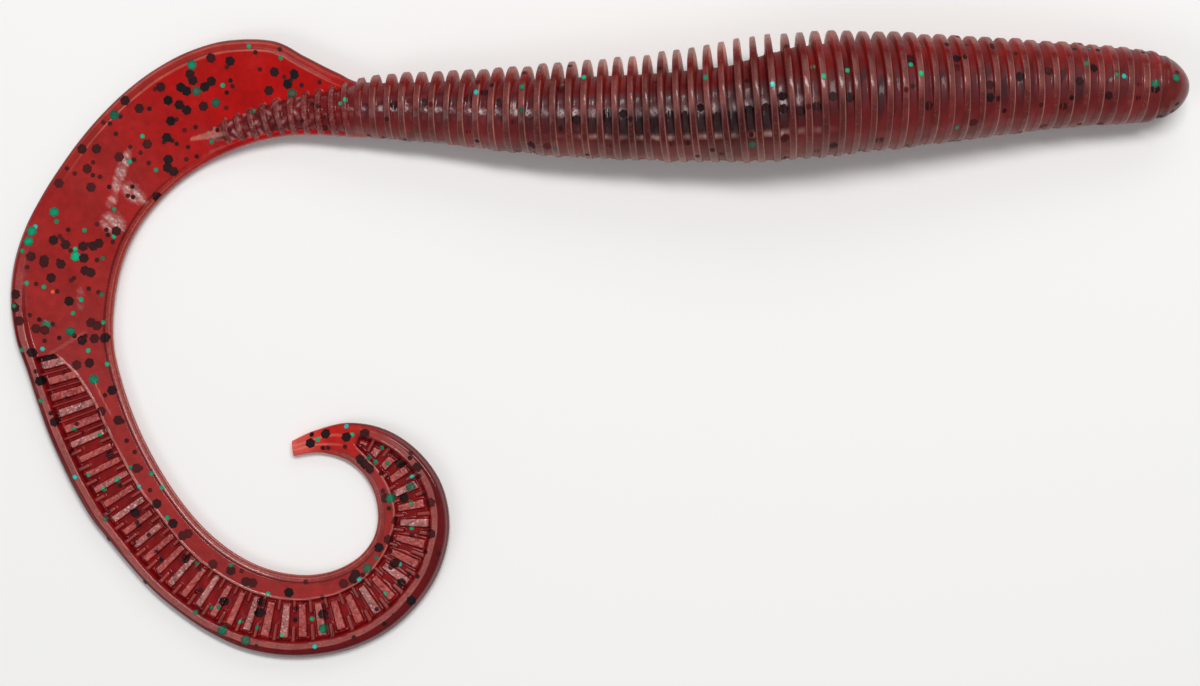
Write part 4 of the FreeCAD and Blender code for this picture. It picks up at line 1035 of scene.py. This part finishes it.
# Tail: length along, distance in from the outer edge, and the same.
ON_TAIL = [
    (15.7, 2.9, "b", 1, 0.05, 0), (17.6, 2.0, "b", 1, 0.35, 0), (11.0, 4.0, "b", 1, 0.15, 0), (9.1, 4.6, "b", 1, 0.0, 0),
    (8.5, 2.9, "b", 1, 0.0, 0), (11.4, 6.6, "b", 1, 0.25, 0), (24.1, 4.6, "b", 1, 0.0, 0), (23.2, 5.9, "b", 1, 0.1, 0),
    (22.7, 7.0, "b", 1, 0.1, 0), (25.4, 7.0, "b", 1, 0.0, 0), (27.0, 8.4, "b", 1, 0.05, 0), (28.8, 10.7, "b", 1, 0.1, 0),
    (29.7, 11.4, "b", 1, 0.1, 0), (29.4, 12.3, "b", 1, 0.2, 0), (20.5, 7.6, "b", 1, 0.3, 0), (22.0, 4.0, "b", 1, 0.0, 0),
    (21.6, 4.8, "b", 1, 0.0, 0), (19.4, 5.3, "b", 1, 0.05, 0), (18.4, 4.9, "b", 1, 0.1, 0), (20.4, 3.9, "b", 1, 0.1, 0),
    (20.4, 3.0, "b", 1, 0.2, 0), (24.0, 2.6, "b", 1, 0.3, 0), (27.5, 3.1, "b", 1, 0.3, 0), (28.2, 1.1, "b", 1, 0.3, 0),
    (29.8, 2.2, "b", 0, 0.4, 0), (35.6, 1.2, "b", 1, 0.35, 0), (34.5, 2.7, "b", 1, 0.35, 0), (37.1, 3.3, "b", 1, 0.6, 0),
    (40.4, 1.3, "b", 1, 0.6, 0), (38.7, 5.1, "b", 1, 0.55, 0), (33.4, 5.7, "b", 1, 0.55, 0), (29.6, 7.3, "b", 1, 0.5, 0),
    (17.0, 6.9, "b", 0, 0.1, 0), (20.5, 5.4, "g", 1, 0.5, 0.15), (18.8, 7.8, "g", 1, 0.3, 0.05), (19.8, 2.0, "g", 1, 0.1, 0.35),
    (8.3, 5.4, "g", 1, 0.5, 0.1), (30.2, 1.5, "g", 1, 0.1, 0.1), (29.4, 6.1, "g", 0, 0, 0.8), (32.9, 7.2, "g", 0, 0, 0.7),
    (31.2, 10.5, "g", 0, 0, 0.5), (13.7, 1.1, "g", 0, 0, 0.7), (10.5, 1.9, "g", 0, 0, 0.4), (13.5, 9.6, "g", 0, 0.2, 0.4),
    (1.7, 3.9, "g", 0, 0, 1), (43.6, 2.7, "g", 1, 0.0, 0.45), (44.5, 3.6, "g", 0, 0.0, 0.4), (46.6, 1.2, "g", 1, 0.0, 0.5),
    (48.0, 1.3, "g", 1, 0.0, 0.5), (46.0, 1.4, "c", 0, 0.0, 1), (46.8, 7.4, "g", 0, 0, 0.95), (47.3, 7.6, "g", 0, 0, 0.7),
    (48.1, 7.8, "g", 1, 0, 0.8), (44.0, 7.4, "g", 0, 0, 0.5), (42.9, 11.2, "g", 0, 0, 0.8), (52.2, 2.3, "g", 0, 0, 0.6),
    (54.7, 0.8, "g", 0, 0, 0.8), (52.4, 4.6, "g", 0, 0, 0.6), (53.7, 9.6, "g", 0, 0.0, 0.8), (48.6, 0.9, "g", 0, 0.2, 0.5),
    (46.7, 11.2, "g", 0, 0.3, 0.2), (53.5, 1.0, "b", 1, 0.3, 0), (54.9, 0.9, "b", 1, 0.3, 0), (46.7, 4.3, "b", 1, 0.15, 0),
    (46.7, 6.0, "b", 1, 0.3, 0), (46.1, 8.2, "b", 1, 0.3, 0), (45.5, 9.4, "b", 1, 0.3, 0), (44.8, 9.9, "b", 1, 0.3, 0),
    (49.2, 6.3, "b", 1, 0.35, 0), (48.8, 4.0, "b", 1, 0.4, 0), (49.6, 4.1, "b", 1, 0.4, 0), (47.6, 8.9, "b", 1, 0.2, 0),
    (49.3, 9.6, "b", 1, 0.25, 0), (49.4, 10.4, "b", 1, 0.35, 0), (48.6, 2.2, "b", 1, 0.45, 0), (51.2, 5.4, "b", 1, 0.25, 0),
    (54.0, 8.0, "b", 1, 0.1, 0), (52.8, 6.4, "b", 0, 0.5, 0), (42.0, 11.1, "b", 1, 0.4, 0), (36.4, 10.4, "b", 0, 0.2, 0),
    (34.1, 13.2, "b", 1, 0.15, 0),
    (56.3, 1.3, "b", 1, 0.5, 0), (60.0, 1.9, "b", 1, 0.1, 0), (63.6, 1.7, "b", 1, 0.0, 0), (69.0, 1.8, "b", 1, 0.2, 0),
    (73.2, 2.2, "b", 0, 0.2, 0), (57.3, 3.2, "b", 1, 0.6, 0), (57.6, 4.3, "b", 1, 0.65, 0), (59.7, 8.7, "b", 1, 0.15, 0),
    (59.2, 9.3, "b", 0, 0.3, 0), (62.8, 6.8, "b", 1, 0.7, 0), (63.0, 8.5, "b", 1, 0.3, 0), (59.8, 10.3, "b", 1, 0.4, 0),
    (57.3, 10.5, "b", 1, 0.5, 0), (57.9, 11.2, "b", 1, 0.55, 0), (60.0, 11.6, "b", 1, 0.15, 0), (69.8, 7.9, "b", 1, 0.5, 0),
    (67.6, 10.2, "b", 1, 0.1, 0), (71.8, 9.5, "b", 1, 0.35, 0), (72.2, 10.0, "b", 0, 0.4, 0), (74.9, 9.4, "b", 0, 0.3, 0),
    (79.0, 8.9, "b", 1, 0.65, 0), (79.3, 9.4, "b", 0, 0.5, 0), (76.8, 9.7, "b", 0, 0.5, 0), (82.7, 8.8, "b", 0, 0.5, 0),
    (84.8, 8.3, "b", 1, 0.2, 0), (88.3, 8.3, "b", 1, 0.15, 0), (90.5, 8.2, "b", 1, 0.6, 0), (90.8, 8.9, "b", 1, 0.7, 0),
    (96.5, 8.1, "b", 1, 0.7, 0), (99.2, 8.8, "b", 1, 0.4, 0), (101.3, 8.5, "b", 1, 0.5, 0), (103.0, 8.8, "b", 1, 0.55, 0),
    (91.5, 0.4, "b", 0, 0.0, 0), (84.7, 0.4, "b", 0, 0.0, 0), (81.8, 2.7, "b", 0, 0.1, 0), (84.0, 5.2, "b", 1, 0.1, 0),
    (93.0, 6.3, "b", 1, 0.15, 0), (90.8, 3.8, "b", 0, 0.0, 0), (101.2, 4.8, "b", 1, 0.1, 0), (75.7, 6.5, "b", 1, 0.1, 0),
    (59.8, 3.3, "c", 0, 0, 0.9), (57.0, 4.7, "g", 1, 0.3, 0.3), (58.2, 7.6, "g", 1, 0.1, 0.2), (61.3, 8.9, "g", 0, 0, 0.9),
    (65.3, 8.4, "g", 1, 0.05, 0.3), (63.8, 10.7, "g", 0, 0, 0.8), (59.5, 0.8, "g", 0, 0.2, 0.4), (66.0, 1.0, "g", 0, 0.3, 0.4),
    (57.5, 12.1, "g", 0, 0, 0.5), (55.7, 8.4, "g", 0, 0.2, 0.6), (70.7, 3.7, "g", 0, 0.2, 0.5), (76.3, 1.3, "c", 0, 0, 1),
    (76.8, 2.8, "g", 0, 0.2, 0.6), (72.7, 6.5, "g", 0, 0.1, 0.5), (79.2, 3.7, "g", 0, 0, 1), (79.1, 5.9, "g", 0, 0, 0.9),
    (78.5, 8.3, "g", 0, 0.2, 0.3), (81.4, 7.9, "c", 0, 0, 0.9), (80.8, 10.2, "g", 0, 0, 0.5), (83.4, 10.2, "g", 0, 0, 0.6),
    (87.2, 8.2, "g", 0, 0, 0.6), (82.5, 1.9, "g", 0, 0.4, 0.2), (102.0, 1.5, "g", 1, 0.2, 0.15), (103.4, 3.4, "g", 0, 0, 0.8),
    (102.6, 8.4, "g", 0, 0, 0.7), (100.3, 3.8, "g", 0, 0.1, 0.3), (94.6, 6.8, "g", 0, 0.1, 0.3), (98.3, 1.7, "g", 0, 0.3, 0.3),
    (120.2, 1.2, "b", 0, 0.0, 0), (123.8, 1.0, "b", 1, 0.0, 0), (134.3, 2.0, "b", 1, 0.7, 0), (131.0, 2.3, "b", 1, 0.4, 0),
    (138.3, 1.4, "b", 1, 0.35, 0), (145.2, 1.2, "b", 1, 0.3, 0), (147.2, 1.9, "b", 1, 0.05, 0), (149.8, 0.9, "b", 1, 0.05, 0),
    (151.9, 1.4, "b", 1, 0.05, 0), (151.5, 0.4, "b", 0, 0.0, 0), (142.3, 5.6, "b", 1, 0.3, 0), (143.4, 5.3, "b", 1, 0.3, 0),
    (144.4, 4.8, "b", 1, 0.2, 0), (136.7, 7.4, "b", 1, 0.55, 0), (138.0, 7.0, "b", 0, 0.6, 0), (129.0, 7.7, "b", 1, 0.6, 0),
    (127.0, 8.5, "b", 1, 0.1, 0), (119.8, 8.4, "b", 1, 0.25, 0), (120.6, 8.7, "b", 1, 0.3, 0), (109.0, 8.7, "b", 1, 0.05, 0),
    (118.0, 8.5, "b", 1, 0.7, 0), (139.8, 2.8, "b", 1, 0.0, 0), (129.0, 2.5, "b", 0, 0.3, 0), (124.5, 3.5, "b", 1, 0.2, 0),
    (105.3, 5.3, "b", 1, 0.1, 0), (105.2, 6.8, "b", 1, 0.1, 0), (110.0, 5.0, "b", 0, 0.1, 0), (114.3, 5.5, "b", 1, 0.15, 0),
    (126.0, 5.7, "b", 1, 0.2, 0), (135.6, 5.3, "b", 1, 0.1, 0), (104.8, 1.5, "g", 1, 0.6, 0.2), (112.4, 1.5, "c", 0, 0, 1),
    (108.5, 2.9, "g", 0, 0, 1), (105.6, 3.4, "g", 0, 0.1, 0.4), (105.8, 8.1, "g", 0, 0, 0.9), (113.5, 3.6, "g", 1, 0.2, 0.2),
    (120.6, 7.9, "c", 0, 0, 0.9), (122.8, 8.2, "g", 1, 0.5, 0.15), (125.2, 8.1, "g", 0, 0.4, 0.3), (126.2, 5.1, "c", 0, 0, 0.9),
    (131.5, 5.0, "g", 0, 0.1, 0.7), (134.7, 4.6, "g", 0, 0.1, 0.5), (137.7, 2.8, "c", 0, 0, 1), (136.7, 3.7, "g", 1, 0.4, 0.1),
    (136.3, 6.8, "g", 1, 0.1, 0.25), (140.9, 3.8, "g", 0, 0.2, 0.3), (143.4, 4.3, "g", 0, 0.1, 0.3), (147.4, 0.45, "c", 0, 0, 0.9),
    (150.8, 1.3, "g", 0, 0, 0.8)]
KIND = {"b": "black", "g": "green", "c": "cyan"}
for x, q, kind, big, depth, bright in ON_BODY:
    add(KIND[kind], NOSE_X - x, q, bool(big), depth, bright)
for l, d, kind, big, depth, bright in ON_TAIL:
    o, i = tail_edges(np.array([l]))
    w = float(np.hypot(*(i - o)[0]))
    add(KIND[kind], BODY_LEN + l, min(max(d * 1.018 / w, 0.03), 0.97), bool(big), depth, bright)
o, i = tail_edges(np.array([52.9]))
add("red", BODY_LEN + 52.9, 0.42, False)
# the slots of the body show the large flakes that lie in its core
for k in range(2, RING_COUNT):
    x = float(ring_x[k] - RING_PITCH / 2)
    if -4 < x < 33 and R.random() < 0.9:
        add("black", NOSE_X - x, R.uniform(0.54, 0.64), True, R.uniform(0.0, 0.25))
    elif R.random() < 0.45:
        add("black", NOSE_X - x, R.uniform(0.30, 0.72), R.random() < 0.6, R.uniform(0.0, 0.4))


def free(s, q, r, gap=0.75):
    for a, b, c in taken:
        if abs(a - s) < 2:
            dq = abs(b - q)
            dq = min(dq, 2 - dq)
            _, w = stretch_at(s, q)
            if math.hypot(a - s, dq * w) < (c + r) * gap:
                return False
    return True


def scatter(kind, n, s0, s1, big, faces, depth, bright=(0, 0), gap=0.75, side=(0, 2)):
    got = tries = 0
    while got < n and tries < n * 30:
        tries += 1
        s = R.uniform(s0, s1)
        if s > BODY_LEN + 2:
            v = R.uniform(0.07, 0.93)
            q = v if R.random() < faces else 2 - v
        else:
            q = R.uniform(*side)
            if s < 1.6:
                continue
        if not free(s, q, 0.62 if big else 0.31, gap):
            continue
        add(kind, s, q, big, R.uniform(*depth), R.uniform(*bright) ** 2)
        got += 1


B = BODY_LEN
scatter("black", 40, 3, B, True, 1, (0.2, 0.8), side=(0.75, 1.95))
scatter("black", 120, 2, B, False, 1, (0.1, 0.7))
scatter("green", 12, 3, B, True, 1, (0.4, 0.9), (0.0, 0.3), side=(0.7, 2.0))
scatter("green", 20, 2, B, False, 1, (0.1, 0.6), (0.0, 0.75))
scatter("black", 20, B + 3, B + 60, True, 0.0, (0.1, 0.6))
scatter("black", 100, B + 3, B + 60, False, 0.72, (0.1, 0.7))
scatter("green", 8, B + 3, B + 60, True, 0.0, (0.1, 0.5), (0.1, 0.6))
scatter("green", 14, B + 3, B + 60, False, 0.35, (0.0, 0.4), (0.3, 1))
scatter("black", 30, B + 62, B + 151, True, 0.0, (0.1, 0.6))
scatter("black", 90, B + 62, B + 152, False, 0.55, (0.2, 0.7))
scatter("green", 8, B + 62, B + 150, True, 0.0, (0.0, 0.4), (0.2, 0.7))
scatter("green", 26, B + 62, B + 152, False, 0.2, (0.0, 0.4), (0.4, 1))

REP = {"black": "black_flakes_", "green": "green_flakes_"}
for k in range(14):
    j, a, b = ends[k]
    for kind, bag in bags[k].items():
        if not bag.v:
            continue
        F = np.vstack(bag.f)
        mat = {"black": M_BLACK, "green": M_GREEN, "red": M_RED}[kind]
        ob = make_mesh("flakes_%s_%02d_%s" % (kind, k + 1, BODIES[k + 1]), np.vstack(bag.v), F.ravel(),
                       np.full(len(F), 3), np.vstack(bag.c), mat, smooth=False)
        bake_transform(ob)
        if kind == "red":
            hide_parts("red_flake_paddle")
        else:
            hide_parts(*([REP[kind] + "head", REP[kind] + "shoulder"] if k == 0 else [REP[kind] + BODIES[k + 1]]))
        print(ob.name, len(ob.data.vertices))

# ---- stage, lights, camera ---------------------------------------------------------
def floor():
    me = bpy.data.meshes.new("floor")
    e = 1.6
    me.from_pydata([(-e, -e, -0.0002), (e, -e, -0.0002), (e, e, -0.0002), (-e, e, -0.0002)], [], [(0, 1, 2, 3)])
    ob = bpy.data.objects.new("floor", me)
    bpy.context.scene.collection.objects.link(ob)
    m = bpy.data.materials.new("paper")
    m.use_nodes = True
    b = next(n for n in m.node_tree.nodes if n.type == "BSDF_PRINCIPLED")
    b.inputs["Base Color"].default_value = (0.95, 0.948, 0.945, 1)
    b.inputs["Roughness"].default_value = 0.9
    b.inputs["Specular IOR Level"].default_value = 0.1
    me.materials.append(m)


floor()
w = bpy.data.worlds.new("studio")
bpy.context.scene.world = w
w.use_nodes = True
bg = next(n for n in w.node_tree.nodes if n.type == "BACKGROUND")
bg.inputs["Color"].default_value = (0.98, 0.99, 1.0, 1)
bg.inputs["Strength"].default_value = 0.28


def area(name, loc, target, size, power, colour=(1, 1, 1)):
    l = bpy.data.lights.new(name, "AREA")
    l.shape = "RECTANGLE"
    l.size, l.size_y = size
    l.energy = power
    l.color = colour
    ob = bpy.data.objects.new(name, l)
    ob.location = loc
    ob.rotation_euler = (Vector(target) - Vector(loc)).to_track_quat("-Z", "Y").to_euler()
    bpy.context.scene.collection.objects.link(ob)


area("key", (0.08, 0.205, 0.62), (0, 0.02, 0), (0.34, 0.10), 2.6, (1.0, 0.99, 0.97))
area("side", (0.12, 0.48, 0.40), (0, 0, 0), (0.40, 0.24), 0.4, (1.0, 0.99, 0.97))
area("fill", (-0.40, -0.26, 0.50), (0, 0, 0), (0.30, 0.30), 0.6)
bpy.context.scene.view_settings.view_transform = "Standard"

# the camera looks straight down from about 0.29 m, a little to the right of the middle
cam = bpy.data.cameras.new("camera")
co = bpy.data.objects.new("camera", cam)
CAM = Vector((9.0 + SX, 0.72 + SY, 290.0))
LEVEL = 6.0                                # height at which the picture is 159 mm wide
FIELD = 159.0
MIDDLE = Vector((-0.13 + SX, 0.73 + SY))   # middle of the picture, on the surface
co.location = CAM / 1000
cam.sensor_width = 36
cam.sensor_fit = "HORIZONTAL"
cam.lens = 36 * (CAM.z - LEVEL) / FIELD
cam.shift_x = (MIDDLE.x - CAM.x) / FIELD
cam.shift_y = (MIDDLE.y - CAM.y) / FIELD
cam.clip_start, cam.clip_end = 0.005, 10
bpy.context.scene.collection.objects.link(co)
bpy.context.scene.camera = co
